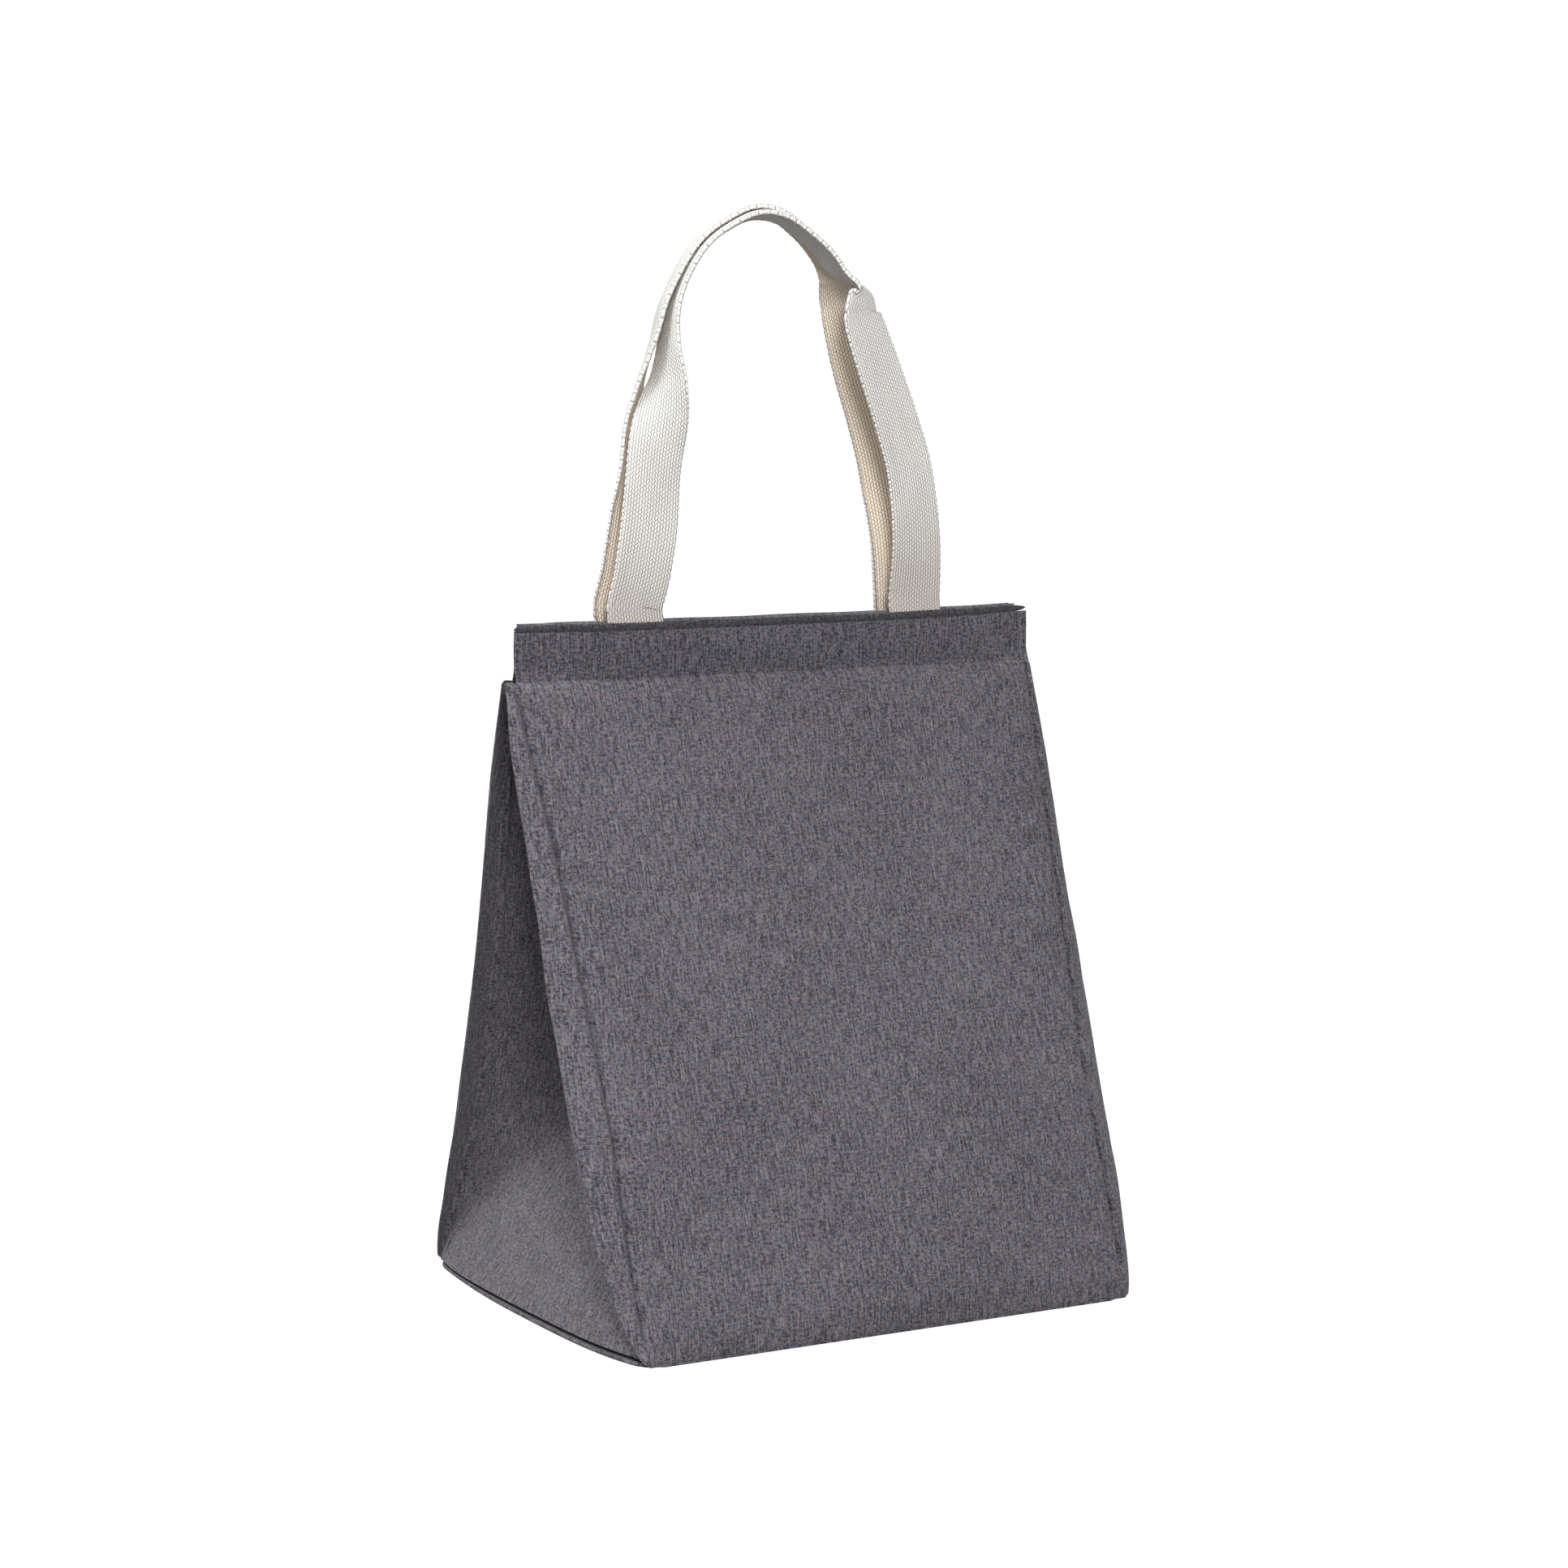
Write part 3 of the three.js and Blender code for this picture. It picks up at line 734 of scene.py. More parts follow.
def wall(name, side):
    """The outside grid, and the inside grid one cloth thickness behind it."""
    lift = np.linspace(0.0, 1.0, 130)
    z = (PANEL_FOOT + (PANEL_TOP - PANEL_FOOT) * (lift - 0.035 * np.sin(2 * math.pi * lift)))[:, None]
    x = wall_x(wall_columns()[None, :], z, side)
    x = x + np.sign(x) * edge_waver(z) * blend_step(np.abs(x) / side_at(z), 0.96, 1.04)
    corner = edge_drop(z - PANEL_FOOT, 5.0) * 0.5
    x = x - np.sign(x) * corner * blend_step(np.abs(x) / side_at(z), 0.85, 1.0)
    out = wall_at(z) + wall_out(x, z, side)
    outside = stack(x, side * out, z)
    inside = stack(x, side * (out - CLOTH), z)
    return sheet(name, outside, inside, uv_pairs(x, z))


for name, side in WALLS:
    made = dress(wall(name + "_wall_cloth", side), body_cloth)
    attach(made, name + "_wall")
    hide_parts(name + "_panel")
print("walls:", len(made.data.polygons), "faces each")

# %% [markdown]
# ## The gussets
# Seen from above, a gusset runs from the front seam into its fold and out again to the back seam. At
# each height that path is a chain of a few corners, and each corner is rounded by a short curve that
# leaves one straight run and joins the next. Stacking the paths gives the surface. It is made as two
# halves that meet in the fold, one beside each wall; neither is tied to its wall, so they stay in place
# when the mouth opens.


# %% Rounded paths
def rounded_path(corners, radii, straight, curved):
    """Points along a chain of corners, for every row at once. Between corners the path is straight, and
    each inner corner is a quadratic curve that starts and ends at most its radius away."""
    legs = corners[:, 1:] - corners[:, :-1]
    lengths = np.linalg.norm(legs, axis=2)
    cut = np.minimum(np.array(radii)[None, :], 0.45 * np.minimum(lengths[:, :-1], lengths[:, 1:]))
    before = corners[:, 1:-1] - legs[:, :-1] * (cut / lengths[:, :-1])[..., None]
    after = corners[:, 1:-1] + legs[:, 1:] * (cut / lengths[:, 1:])[..., None]
    starts = np.concatenate([corners[:, :1], after], axis=1)
    ends = np.concatenate([before, corners[:, -1:]], axis=1)
    pieces = []
    for k in range(legs.shape[1]):
        t = np.linspace(0.0, 1.0, straight[k], endpoint=k == legs.shape[1] - 1)[None, :, None]
        pieces.append(starts[:, k, None] * (1 - t) + ends[:, k, None] * t)
        if k < legs.shape[1] - 1:
            t = np.linspace(0.0, 1.0, curved, endpoint=False)[None, :, None]
            bezier = (1 - t) ** 2 * before[:, k, None] + 2 * t * (1 - t) * corners[:, k + 1, None]
            pieces.append(bezier + t**2 * after[:, k, None])
    return np.concatenate(pieces, axis=1)


def run_length(path):
    """Distance along each row's path, for the UV map."""
    steps = np.linalg.norm(np.diff(path, axis=1), axis=2)
    return np.concatenate([np.zeros((len(path), 1)), np.cumsum(steps, axis=1)], axis=1)


def push(path, distance):
    """A path moved sideways towards the inside of the bag, square to its own run."""
    run = np.gradient(path, axis=1)
    run /= np.linalg.norm(run, axis=2, keepdims=True)
    return path + distance[..., None] * np.stack([run[..., 1], -run[..., 0]], axis=-1)


# %% Gusset path
WALL_STACK = 5.1
GUSSET_STACK = 3.4
GUSSET_BOW = 7.4
CORNER_RADII = (2.0, 5.0, 16.0)
STRAIGHT_POINTS = (9, 8, 26, 18)
CURVE_POINTS = 9


def under_wall(z):
    """Distance of the gusset's outside from the middle plane where it is stitched under the wall."""
    return wall_at(z) - 2.0 * CLOTH - 0.1


def gusset_corners(z, wall_side, hand):
    """Corners in plan, as distances out from the middle and from the middle plane: flange tip,
    stitched seam, shoulder, crease and the middle of the fold."""
    side, inset, seam = side_at(z), fold_inset(z), seam_at(z, wall_side, hand)
    under = under_wall(z)
    slack = np.clip(1.0 - z / FOLD_PEAK, 0.0, 1.0)
    deepest = under - WALL_STACK - GUSSET_STACK
    crease_y = np.maximum(1.6, np.minimum(FOOT_DEPTH * slack, deepest))
    shoulder_inset = np.minimum(side - seam + 5.0, 0.8 * inset)
    shoulder_y = np.maximum(deepest + 0.3, crease_y)
    corners = [
        (tip_at(z, wall_side, hand) - 0.35, under),
        (seam - 0.2, under),
        (side - shoulder_inset, shoulder_y),
        (side - inset, crease_y),
        (side - inset + 0.6, 0.0 * z),
    ]
    return np.stack([np.stack(pair, axis=-1) for pair in corners], axis=1)


def gusset_rows(foot, top):
    """Heights of the rows, closer together low down, where the creases slant."""
    t = np.linspace(0.0, 1.0, 120)
    return foot + (top - foot) * (0.72 * t + 0.28 * t**2)


def gusset_path(z, wall_side, hand):
    """The gusset's outside in plan, for every height: tight at the seam, soft at the crease, and low down
    bowed out between the seams, by one less the fourth power of the share of the depth."""
    path = rounded_path(gusset_corners(z, wall_side, hand), CORNER_RADII, STRAIGHT_POINTS, CURVE_POINTS)
    rise = z[:, None]
    share = np.clip(path[..., 1] / under_wall(rise), 0.0, 1.0)
    bow = GUSSET_BOW * np.clip(1.0 - rise / FOLD_PEAK, 0.0, 1.0) ** 1.6 * (1.0 - share**4)
    path[..., 0] += bow
    return path


FLANGE_COLUMNS = 15
RIGHT_GUSSET_UV = 160.0


def gusset_half(name, hand, side, foot, depth, thickness, first=0):
    """Half a gusset, depth below the cloth's outside and of the given thickness, from one of the path's
    columns onwards."""
    rise = gusset_rows(foot, GUSSET_TOP)
    path = gusset_path(rise, side, hand)[:, first:]
    z = rise[:, None]
    run = run_length(path)
    ruffle = 0.5 * np.sin(z / 15.0 + path[..., 0] / 21.0) * blend_step(run, 14.0, 40.0)
    across = path[..., 0] * hand
    pressed = flange_bend(across, z, side) + seam_dip(across, z, side)
    grids = []
    for inset in (depth, depth + thickness):
        moved = push(path, inset + ruffle)
        y = np.maximum(moved[..., 1] - pressed, 0.0)
        y[:, -1] = 0.0
        grids.append(stack(hand * moved[..., 0], side * y, z))
    uv = uv_pairs(run + (RIGHT_GUSSET_UV if hand > 0 else 0.0), z)
    return sheet(name, grids[0], grids[1], uv)


# %% [markdown]
# When a wall tips out, the seam would have to go with it while the fold and the bottom edge stay on the
# body. No blend is made here: each half only has its placement baked into its points, so it stays where
# it is made.


def bend_with_wall(piece, hand, side):
    """Bakes the piece's placement into its points. No blend from the body to the wall is made."""
    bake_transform(piece)


for hand, place in ((-1.0, "left"), (1.0, "right")):
    for name, side in WALLS:
        label = f"{place}_gusset_{name}_half"
        half = dress(gusset_half(label, hand, side, 2.8, 0.0, CLOTH), body_cloth)
        bend_with_wall(half, hand, side)
        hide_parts(place + "_gusset", f"{name}_{place}_seam_allowance")
        label = f"{place}_gusset_{name}_lining_half"
        lined = dress(gusset_half(label, hand, side, 7.9, CLOTH + 0.3, 2.3, FLANGE_COLUMNS), foil)
        bend_with_wall(lined, hand, side)
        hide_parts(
            place + "_gusset_lining", f"{place}_gusset_{name}_foam", place + "_gusset_lower_foam"
        )
print("gusset halves:", len(half.data.polygons), "faces each")

# %% [markdown]
# ## The base
# The bottom cloth shows only as a thin lip along the two sides, where the gusset's edge is turned in
# above it and leaves a dark slit. Its sides bow out a little, its corners are rounded, and the lip fades
# out at the back, where the wall's foam needs the room when the wall opens.


# %% Base cloth and base lining
LIP_BOW = 8.6


def base_cloth():
    """Columns run front to back and rows from side to side. The rim rises into a rounded lip."""
    v = np.linspace(-1.0, 1.0, 60)[None, :]
    near = np.concatenate([np.linspace(0.0, 0.9, 18), 1.0 - 0.1 * np.linspace(1.0, 0.0, 14)[1:] ** 2])
    u = np.concatenate([-near[::-1], near[1:]])[:, None]
    y = BASE_HALF_DEPTH * v
    fullness = np.where(v < 0, 1.0 - v**4, 1.0 - v**2)
    corner = edge_drop(BASE_HALF_DEPTH - np.abs(y), np.where(v < 0, 9.0, 18.0))
    half = FOOT_HALF + LIP_BOW * fullness - 0.8 * corner
    x = u * half
    rim = half * (1.0 - np.abs(u))
    lip = 0.9 * np.exp(-((rim / 1.6) ** 2)) * blend_step(BASE_HALF_DEPTH - y, 3.0, 16.0)
    top = 0.9 + lip - edge_drop(rim, 0.8)
    bottom = edge_drop(rim, 0.8)
    return sheet("base_cloth", stack(x, y, top), stack(x, y, bottom), uv_pairs(x, y))


made = dress(base_cloth(), band_cloth)
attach(made, "root")
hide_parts("base_panel")


def base_lining():
    """A foil sheet over the base foam, with soft crumples and its rim turned up."""
    low, high = reach("base_lining", Z)
    half_x, half_y = reach("base_lining", X)[1], reach("base_lining", Y)[1]
    x = np.linspace(-half_x, half_x, 70)[:, None]
    y = np.linspace(-half_y, half_y, 64)[None, :]
    crumple = 0.5 + 0.35 * np.sin(x / 11.0 + np.sin(y / 17.0)) * np.sin(y / 13.0)
    rim = np.minimum(half_x - np.abs(x), half_y - np.abs(y))
    top = high + crumple * blend_step(rim, 0.0, 12.0) + 2.0 * (1.0 - blend_step(rim, 0.0, 6.0))
    return sheet("base_lining_film", stack(x, y, top), stack(x, y, top - (high - low)), uv_pairs(x, y))


made = dress(base_lining(), foil)
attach(made, "root")
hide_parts("base_lining")


# %% [markdown]
# ## The wall linings
# The film over the wall's foam is quilted in broad upright channels, and its side edges slope back to
# the seams, so that no gap shows when the mouth is open.


# %% Wall linings
def wall_lining(name, side):
    """Inside of the wall: level with the foam in the middle, sloping out to the seam at the sides."""
    z = np.linspace(8.2, GUSSET_TOP, 90)[:, None]
    share = np.linspace(-1.0, 1.0, 96)[None, :]
    half = seam_at(z, side, share) - 3.6
    x = share * half
    edge = half - np.abs(x)
    level = 2.6 + 2.3 * blend_step(edge, 0.0, 12.0)
    channel = 0.7 * np.abs(np.sin(math.pi * x / 34.0)) * blend_step(edge, 8.0, 20.0)
    crumple = 0.2 * np.sin(x / 9.0 + z / 13.0) * np.sin(z / 11.0)
    fade = blend_step(GUSSET_TOP - z, 0.0, 14.0)
    depth = wall_at(z) - level - 0.4 - (channel + crumple) * fade
    outside = stack(x, side * (depth + 0.4), z)
    inside = stack(x, side * depth, z)
    return sheet(name, outside, inside, uv_pairs(x, z))


for name, side in WALLS:
    made = dress(wall_lining(name + "_lining_film", side), foil)
    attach(made, name + "_wall")
    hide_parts(name + "_lining")
print("linings made")

# %% [markdown]
# ## The closure band
# A strip of darker cloth stands up behind each wall's top edge. Its top is rolled into a hem, with a
# thicker facing behind it, and the fastening tape is sewn to the facing. The strip bows forward a
# little between its ends, and the hem's roll thins out towards both ends. The roll wears the band's
# cloth in about half its tones, which is painted shade on it.


# %% Band leaf, hem, facing and tape
def soft_slab(name, x_half, faces, heights, side, bulge=None, radius=0.5):
    """An upright layer with rounded rims, from its near face to its far face. bulge(x, z) stands out."""
    near, far = faces
    low, high = heights
    x = np.concatenate([[-1.0, -0.998, -0.994], np.linspace(-0.985, 0.985, 90), [0.994, 0.998, 1.0]])
    x = x[:, None] * x_half
    t = np.linspace(0.0, 1.0, 26)
    z = (low + (high - low) * (t - 0.08 * np.sin(2 * math.pi * t)))[None, :]
    rim = np.minimum(np.minimum(z - low, high - z), x_half - np.abs(x))
    drop = edge_drop(rim, min(radius, (far - near) / 2.01))
    out = 0.0 if bulge is None else bulge(x, z)
    outside = close_mouth(x, side * (far - drop + out), z)
    inside = close_mouth(x, side * (near + drop + out), z)
    return sheet(name, outside, inside, uv_pairs(x, z))


HEM_HEIGHT = 4.0


def band_bulge(x, z):
    """The leaf stands out most a little below the hem, and not at all where the wall covers it."""
    under_hem = blend_step(z, BAND_TOP - 9.0, BAND_TOP - 3.0)
    up = blend_step(z, PANEL_TOP - 1.0, PANEL_TOP + 9.0) * (1.0 - 0.75 * under_hem)
    return up * (0.9 + 0.35 * np.sin(x / 31.0 + 0.5) + 0.2 * np.sin(x / 12.0))


def close_mouth(x, y, z):
    """The band's layers come together towards both ends of the mouth, above the panels' edge, and the
    right-hand end stands a little higher."""
    closed = blend_step(np.abs(x), 84.0, BAND_HALF_WIDTH) * blend_step(z, PANEL_TOP - 5.0, PANEL_TOP + 6.0)
    right = np.clip(x / BAND_HALF_WIDTH, 0.0, 1.0) ** 3
    left = np.clip(-x / BAND_HALF_WIDTH, 0.0, 1.0) ** 3
    raised = (1.8 * right + 0.6 * left) * blend_step(z, PANEL_TOP, BAND_TOP)
    return stack(x + 2.0 * right, y * (1.0 - 0.45 * closed), z + raised)


def hem(name, side, half):
    """A roll along the top edge: an oval section carried along x, thinner towards both ends."""
    x = np.linspace(-1.0, 1.0, 200)[:, None] * half
    ends = np.clip(1.0 - (np.abs(x) / (half + 0.05)) ** 12, 0.02, 1.0) ** 0.5
    radius = (HEM_HEIGHT / 2 + 0.12 * np.sin(x / 9.0)) * ends
    angle = np.linspace(0.0, 2 * math.pi, 20, endpoint=False)[None, :]
    y = BAND_FACE - 1.15 + 1.35 * ends * np.cos(angle) * (1.0 + 0.05 * np.sin(x / 5.0))
    z = BAND_TOP - HEM_HEIGHT / 2 + radius * np.sin(angle)
    return make_tube(name, close_mouth(x, side * y, z), uv_pairs(x, 2.0 * angle))


END_STEP = 4.5
TAPE_NODES = {"front": "hook_tape", "back": "loop_tape"}
for name, side in WALLS:
    body = name + "_wall"
    half = BAND_HALF_WIDTH - (0.0 if side < 0 else END_STEP)
    leaf = soft_slab(
        name + "_band_leaf", half, (BAND_INNER, BAND_FACE), (BAND_FOOT, BAND_TOP - 3.2), side, band_bulge
    )
    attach(dress(leaf, band_cloth), body)
    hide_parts(name + "_band")
    roll = hem(name + "_band_hem", side, half - 0.3)
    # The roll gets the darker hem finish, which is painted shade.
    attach(dress(roll, shaded_hem_cloth), body)
    depths = sorted(abs(y) for y in reach(name + "_band_facing", Y))
    half = BAND_HALF_WIDTH - END_STEP
    facing = soft_slab(name + "_facing_cloth", half, depths, (BAND_FOOT, BAND_TOP), side, radius=1.1)
    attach(dress(facing, band_cloth), body)
    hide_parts(name + "_band_facing")
    node = TAPE_NODES[name]
    depths = sorted(abs(y) for y in reach(node, Y))
    strip = soft_slab(name + "_fastening_tape", reach(node, X)[1], depths, reach(node, Z), side, radius=0.4)
    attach(dress(strip, tape), body)
    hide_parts(node)
print("bands made")

# %% [markdown]
# ## The handles
# Each handle is one length of webbing. Its middle line is half an ellipse between its two feet, and
# like any soft strap it sways a little off it. It leaves the band flat and turns edge on higher up. The
# front strap's inner edges and the back strap's outer edges come to the front, so the back strap's arch
# lies over the front one's. Each of these ways of moving is a smooth curve through a few values.
# The section is a flat band with round edges, and the edges are scalloped by the weave.


# %% Handle shape
STRAP_HALF = reach("front_handle_left_tail", X)
STRAP_WIDTH = STRAP_HALF[1] - STRAP_HALF[0]
FOOT_X = -(STRAP_HALF[0] + STRAP_HALF[1]) / 2
STRAP_THICKNESS = abs(STRAP_FACES[0] - STRAP_FACES[1])
STRAP_FOOT_Y = sum(STRAP_FACES) / 2
RISE = 162.0
KINK = 6.3
TAIL_ROWS = 30
SCALLOP = 0.4
SCALLOP_PITCH = 3.0
print(f"straps {STRAP_WIDTH:.1f} wide and {STRAP_THICKNESS:.1f} thick, {RISE:.0f} high at their middle lines")


def strap_twist(share, side):
    """Turn of the section in degrees: 0 or 180 is flat to the front, 90 is edge on."""
    if side < 0:
        return smooth_values(
            share, (0, 180), (0.04, 174), (0.08, 170), (0.155, 165), (0.272, 159), (0.289, 132), (0.306, 101),
            (0.33, 96), (0.4, 94), (0.5, 84), (0.58, 77), (0.69, 73), (0.73, 76), (0.767, 82), (0.787, 89),
            (0.816, 111), (0.842, 138), (0.87, 160), (0.91, 172), (1, 180),
        )
    return smooth_values(
        share, (0, 0), (0.06, 20), (0.13, 38), (0.2, 46), (0.26, 60), (0.283, 73), (0.3, 80), (0.33, 87),
        (0.4, 92), (0.5, 83), (0.58, 76), (0.69, 71), (0.76, 68), (0.8, 63), (0.83, 55), (0.86, 42),
        (0.89, 29), (0.93, 6), (1, 0),
    )


def strap_depth(share, side):
    """Distance of the middle line from the bag's middle plane: wide at the legs, close on the arch."""
    if side < 0:
        return -smooth_values(
            share, (0, STRAP_FOOT_Y), (0.05, 7), (0.1, 8), (0.2, 9), (0.25, 9.5), (0.27, 9.5), (0.3, 6.5),
            (0.33, 3.5), (0.37, 3), (0.5, 1.5), (0.6, 1), (0.69, 1), (0.75, 2.4), (0.787, 5.4), (0.816, 7.8),
            (0.842, 8.2), (0.9, 7.2), (1, STRAP_FOOT_Y),
        )
    return smooth_values(
        share, (0, STRAP_FOOT_Y), (0.05, 8), (0.1, 10), (0.2, 10), (0.25, 10.5), (0.27, 10.5), (0.3, 6.5),
        (0.33, 5.5), (0.37, 5.5), (0.5, 3.8), (0.6, 2.4), (0.69, 2), (0.75, 3.2), (0.787, 5.8), (0.816, 8),
        (0.842, 8.6), (0.9, 7.2), (1, STRAP_FOOT_Y),
    )


def strap_frame(side):
    """Middle line and the strap's own directions along it. The share runs from the right foot at 0 to the
    left foot at 1. The back strap lies outside the front one on the arch, by the nesting distance, and
    the front one has a kink at the crease of its right leg."""
    share = np.linspace(0.0, 1.0, 760)
    angle = math.pi * share
    sway = smooth_values(
        share, (0, -1), (0.05, 0.4), (0.108, -0.9), (0.15, -3.9), (0.204, -7.2), (0.24, -8.2), (0.27, -8.2),
        (0.334, -6.5), (0.4, -8.4), (0.47, -7), (0.53, -3.9), (0.59, -2.5), (0.66, -4.6), (0.72, -4),
        (0.77, -1), (0.82, 1.9), (0.87, 2.6), (0.93, 3.9), (0.97, 2.2), (1, -1.4),
    )
    lift = smooth_values(share, (0, 0), (0.36, 0), (0.42, -0.9), (0.5, -2.2), (0.56, -1.8), (0.64, 0), (1, 0))
    nesting = smooth_values(
        share, (0, 0), (0.1, 0), (0.15, 1), (0.2, 2), (0.25, 4), (0.285, 4.6), (0.31, 3.4), (0.35, 2.6),
        (0.5, 2.4), (0.6, 2.3), (0.69, 2.3), (0.767, 2.6), (0.787, 3.2), (0.816, 4.2), (0.842, 4),
        (0.886, 1.2), (0.93, 0), (1, 0),
    )
    run = np.stack([-FOOT_X * np.sin(angle), 0 * angle, RISE * np.cos(angle)], axis=1)
    run /= np.linalg.norm(run, axis=1, keepdims=True)
    out = np.stack([run[:, 2], 0 * angle, -run[:, 0]], axis=1)
    height = TAIL_TOP + 0.3 + RISE * np.sin(angle) + lift
    middle = np.stack([FOOT_X * np.cos(angle) + sway, strap_depth(share, side), height], axis=1)
    if side > 0:
        middle += out * nesting[:, None]
    else:
        middle[:, X] += KINK * np.exp(-(((share - 0.291) / 0.02) ** 2))
    turn = np.radians(strap_twist(share, side))
    across = out * np.cos(turn)[:, None] - np.array([0.0, 1.0, 0.0]) * np.sin(turn)[:, None]
    return middle, across, strap_squeeze(share)


def strap_squeeze(share):
    """Share of the full width: the strap is cupped on the arch, so that it looks narrower there."""
    return smooth_values(
        share, (0, 1), (0.18, 1), (0.25, 0.95), (0.29, 0.82), (0.33, 0.78), (0.5, 0.74), (0.69, 0.8),
        (0.75, 0.9), (0.82, 0.92), (0.88, 0.91), (0.95, 1), (1, 1),
    )


def with_tails(middle, across, squeeze, side):
    """Adds the straight ends that run down inside the band, at even steps."""
    down = np.linspace(TAIL_TOP - 22.0, TAIL_TOP, TAIL_ROWS, endpoint=False)
    settle = blend_step(down, TAIL_TOP - 12.0, TAIL_TOP)
    depth = 0 * down + side * STRAP_FOOT_Y
    first = np.stack([FOOT_X + settle * (middle[0, X] - FOOT_X), depth, down], axis=1)
    last = np.stack([-FOOT_X + settle * (middle[-1, X] + FOOT_X), depth, down], axis=1)
    middle = np.concatenate([first, middle, last[::-1]])
    across = np.pad(across, ((TAIL_ROWS, TAIL_ROWS), (0, 0)), mode="edge")
    squeeze = np.pad(squeeze, TAIL_ROWS, constant_values=1.0)
    along = np.gradient(middle, axis=0)
    along /= np.linalg.norm(along, axis=1, keepdims=True)
    across = across - along * np.sum(along * across, axis=1, keepdims=True)
    across /= np.linalg.norm(across, axis=1, keepdims=True)
    through = np.cross(along, across)
    length = np.concatenate([[0.0], np.cumsum(np.linalg.norm(np.diff(middle, axis=0), axis=1))])
    return middle, across, through, length, squeeze


def strap(name, side):
    """The section carried along the middle line: flat faces, half-round edges, scalloped selvedges. Where
    the width is squeezed, the section is cupped towards the inside of the arch by a parabola."""
    middle, across, through, length, squeeze = with_tails(*strap_frame(side), side)
    flat = np.linspace(-1.0, 1.0, 16)
    bend = np.linspace(0.0, math.pi, 7)[1:-1]
    wide = np.concatenate([flat, 1.0 + 0 * bend, flat[::-1], -1.0 + 0 * bend])
    edge = np.concatenate([0 * flat, np.sin(bend), 0 * flat, -np.sin(bend)])
    thick = np.concatenate([1.0 + 0 * flat, np.cos(bend), -1.0 + 0 * flat, -np.cos(bend)])
    radius = STRAP_THICKNESS / 2
    scallop = SCALLOP * np.abs(np.sin(math.pi * length / SCALLOP_PITCH))[:, None] * np.abs(wide)[None, :] ** 6
    half_flat = STRAP_WIDTH / 2 - radius - SCALLOP
    offset = wide[None, :] * half_flat + edge[None, :] * radius + np.sign(wide) * scallop
    shown = offset * squeeze[:, None]
    outer = np.sign(through[len(through) // 2, Z])
    cup = -outer * 4.0 * (1.0 - squeeze)[:, None] * ((offset / STRAP_WIDTH) ** 2 * 4.0 - 0.4)
    points = middle[:, None] + across[:, None] * shown[..., None]
    points = points + through[:, None] * (thick[None, :] * radius + cup)[..., None]
    # The faces that turn towards the other strap get the UV offset that picks the webbing's painted-shade
    # Inner tone.
    foot_front = -np.sign(through[0, Y])
    faces_in = thick[None, :] * foot_front * side > 0.9
    uv_x = offset + OUTER_FACE_UV + np.where(faces_in, INNER_FACE_UV, 0.0)
    return make_tube(name, points, uv_pairs(uv_x, length[:, None]))


for name, side in WALLS:
    made = dress(strap(name + "_webbing", side), webbing[name])
    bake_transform(made)
    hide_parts(name + "_handle", name + "_handle_left_tail", name + "_handle_right_tail")
print("straps:", len(made.data.polygons), "faces each")

# %% [markdown]
# ## Stitching
# Thread shows where the walls are topstitched to the gussets and at the ends of the band. One stitch is
# a short rounded bar; the same bar is copied along each line by adding its corners to a list of places.


# %% Stitch bars
STITCH_PITCH = 3.1
STITCH_SHARE = 0.78
BAND_STITCH = 2.2
THREAD_LIFT = 0.1


def stitches(name, starts, ends, radius=0.22):
    """Hexagonal bars between pairs of points, each drawn in to a small ring at both ends."""
    run = ends - starts
    run /= np.linalg.norm(run, axis=1, keepdims=True)
    up = np.cross(run, [0.0, 1.0, 0.0])
    up /= np.linalg.norm(up, axis=1, keepdims=True)
    beside = np.cross(up, run)
    angle = np.arange(6) * math.pi / 3
    ring = up[:, None] * np.cos(angle)[None, :, None] + beside[:, None] * np.sin(angle)[None, :, None]
    share = np.array([0.0, 0.15, 0.85, 1.0])
    size = radius * np.array([0.35, 1.0, 1.0, 0.35])
    places = starts[:, None] * (1 - share)[None, :, None] + ends[:, None] * share[None, :, None]
    points = places[:, :, None] + ring[:, None] * size[None, :, None, None]
    body = grid_quads(4, 6, wrap=True)
    caps = np.array([[0, 1, 2, 3], [0, 3, 4, 5], [21, 20, 19, 18], [23, 22, 21, 18]])[:, ::-1]
    quads = np.concatenate([body, caps])
    quads = (quads[None] + (np.arange(len(starts)) * 24)[:, None, None]).reshape(-1, 4)
    points = points.reshape(-1, 3)
    return make_object(name, points, quads, points[:, [0, 2]], sharp_angle=70.0)


def seam_line(side, hand):
    """Points of the sunk seam line, one stitch of height apart, lying on the wall's cloth."""
    z = np.arange(7.0, PANEL_TOP - 4.0, STITCH_PITCH)
    x = hand * (seam_at(z, side, hand) - DIP_INSET)
    y = side * (wall_at(z) + wall_out(x, z, side) + 0.08)
    return np.stack([x, y, z], axis=1)


for name, side in WALLS:
    lines = [seam_line(side, -1.0), seam_line(side, 1.0)]
    starts = np.concatenate([line[:-1] for line in lines])
    ends = np.concatenate([line[:-1] + STITCH_SHARE * np.diff(line, axis=0) for line in lines])
    made = dress(stitches(name + "_seam_stitches", starts, ends), thread)
    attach(made, name + "_wall")
    z = np.arange(PANEL_TOP + 2.0, BAND_TOP - HEM_HEIGHT - 1.0, STITCH_PITCH)
    line = BAND_HALF_WIDTH - 3.0 - (0.0 if side < 0 else END_STEP)
    ends_x = np.concatenate([0 * z - line, 0 * z + line])
    heights = np.concatenate([z, z])
    low, high = (
        close_mouth(ends_x, side * (BAND_FACE + band_bulge(ends_x, tips) + THREAD_LIFT), tips)
        for tips in (heights, heights + BAND_STITCH)
    )
    made = dress(stitches(name + "_band_stitches", low, high, 0.25), pale_thread)
    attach(made, name + "_wall")
print("stitches made")

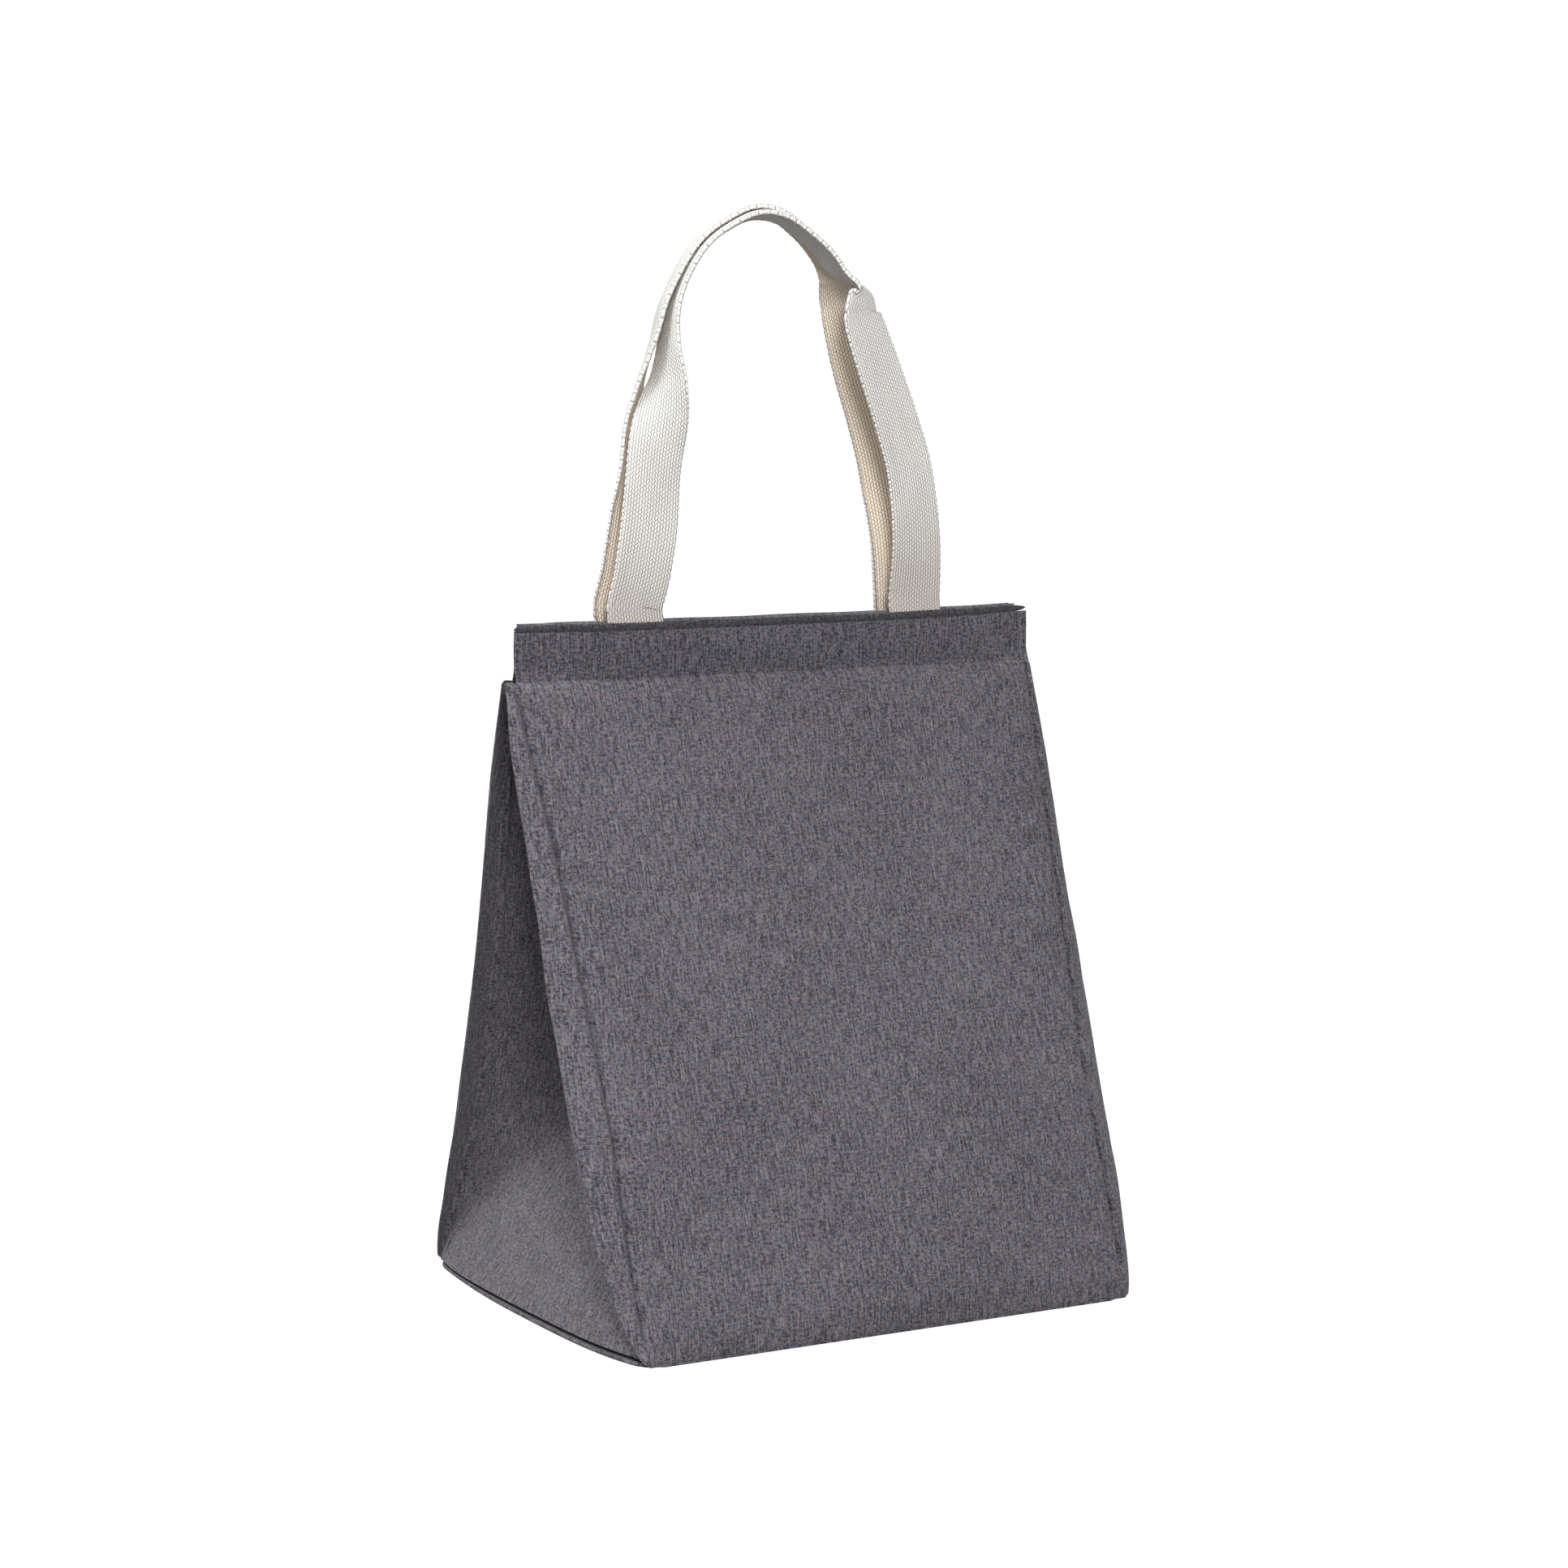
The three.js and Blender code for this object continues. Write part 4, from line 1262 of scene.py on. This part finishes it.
# %% [markdown]
# ## Floor, light and camera
# A plain pale floor runs out to a white surround. The key light stands high at the front left, a broader
# one hangs over the left side, and the surround, brighter above than below, does the rest. The camera
# stands where the photograph was taken from.

# %% Floor
bpy.ops.mesh.primitive_plane_add(size=30.0, location=(0.0, 0.0, 0.0))
floor = bpy.context.object
floor.name = "floor"
floor_material = bpy.data.materials.new("pale_floor")
floor_material.use_nodes = True
floor_shader = floor_material.node_tree.nodes["Principled BSDF"]
floor_shader.inputs["Base Color"].default_value = (0.24, 0.24, 0.24, 1.0)
floor_shader.inputs["Roughness"].default_value = 0.9
floor_shader.inputs["Specular IOR Level"].default_value = 0.0
floor_shader.inputs["Emission Color"].default_value = (1.0, 1.0, 1.0, 1.0)
floor_tree = floor_material.node_tree
seen = floor_tree.nodes.new("ShaderNodeLightPath").outputs["Is Camera Ray"]
wire(floor_tree, calc(floor_tree, "MULTIPLY", seen, 0.9), floor_shader.inputs["Emission Strength"])
floor.data.materials.append(floor_material)
floor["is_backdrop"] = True


# %% Light
def softbox(name, place, target, size, power):
    """A square area light at a place, turned to a target."""
    data = bpy.data.lights.new(name, "AREA")
    data.size = size
    data.energy = power
    lamp = bpy.data.objects.new(name, data)
    bpy.context.scene.collection.objects.link(lamp)
    lamp.location = place
    lamp.rotation_euler = (Vector(target) - Vector(place)).to_track_quat("-Z", "Y").to_euler()


softbox("key_light", (-0.98, -2.4, 1.25), (0.0, 0.0, 0.18), 0.5, 49.0)
softbox("top_light", (-1.1, 0.3, 2.3), (0.0, 0.0, 0.1), 0.9, 40.0)
world = bpy.data.worlds.new("white_surround")
world.use_nodes = True
sky = world.node_tree
backdrop = sky.nodes["Background"]
backdrop.inputs["Color"].default_value = (1.0, 1.0, 1.0, 1.0)
LOW_AMBIENT, HIGH_AMBIENT, SEEN = 0.46, 0.68, 1.05
upwards = sky.nodes.new("ShaderNodeSeparateXYZ")
wire(sky, sky.nodes.new("ShaderNodeTexCoord").outputs["Generated"], upwards.inputs[0])
height_share = spread(sky, upwards.outputs[2], -0.1, 0.8)
ambient = calc(sky, "MULTIPLY_ADD", height_share, HIGH_AMBIENT - LOW_AMBIENT, LOW_AMBIENT)
seen_by_camera = sky.nodes.new("ShaderNodeLightPath").outputs["Is Camera Ray"]
shown = calc(sky, "MULTIPLY", seen_by_camera, calc(sky, "SUBTRACT", SEEN, ambient))
wire(sky, calc(sky, "ADD", ambient, shown), backdrop.inputs["Strength"])
bpy.context.scene.world = world
bpy.context.scene.view_settings.view_transform = "Standard"

# %% Camera
FOCAL_PIXELS, IMAGE_PIXELS, SENSOR = 4580.8, 1932.0, 36.0
LOOKS_DOWN, LOOKS_RIGHT = 6.55, 29.39
camera_data = bpy.data.cameras.new("camera")
camera_data.sensor_width = SENSOR
camera_data.lens = FOCAL_PIXELS / IMAGE_PIXELS * SENSOR
camera = bpy.data.objects.new("camera", camera_data)
bpy.context.scene.collection.objects.link(camera)
camera.location = (-0.75784, -1.35545, 0.39098)
camera.rotation_euler = (math.radians(90.0 - LOOKS_DOWN), 0.0, math.radians(-LOOKS_RIGHT))
bpy.context.scene.camera = camera

# %% Sizes, printed, and finish
low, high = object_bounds()
sizes = {
    "cad": [[float(v) for v in cad_low], [float(v) for v in cad_high]],
    "visual": [[float(v) for v in low], [float(v) for v in high]],
}
print("sizes:", sizes)
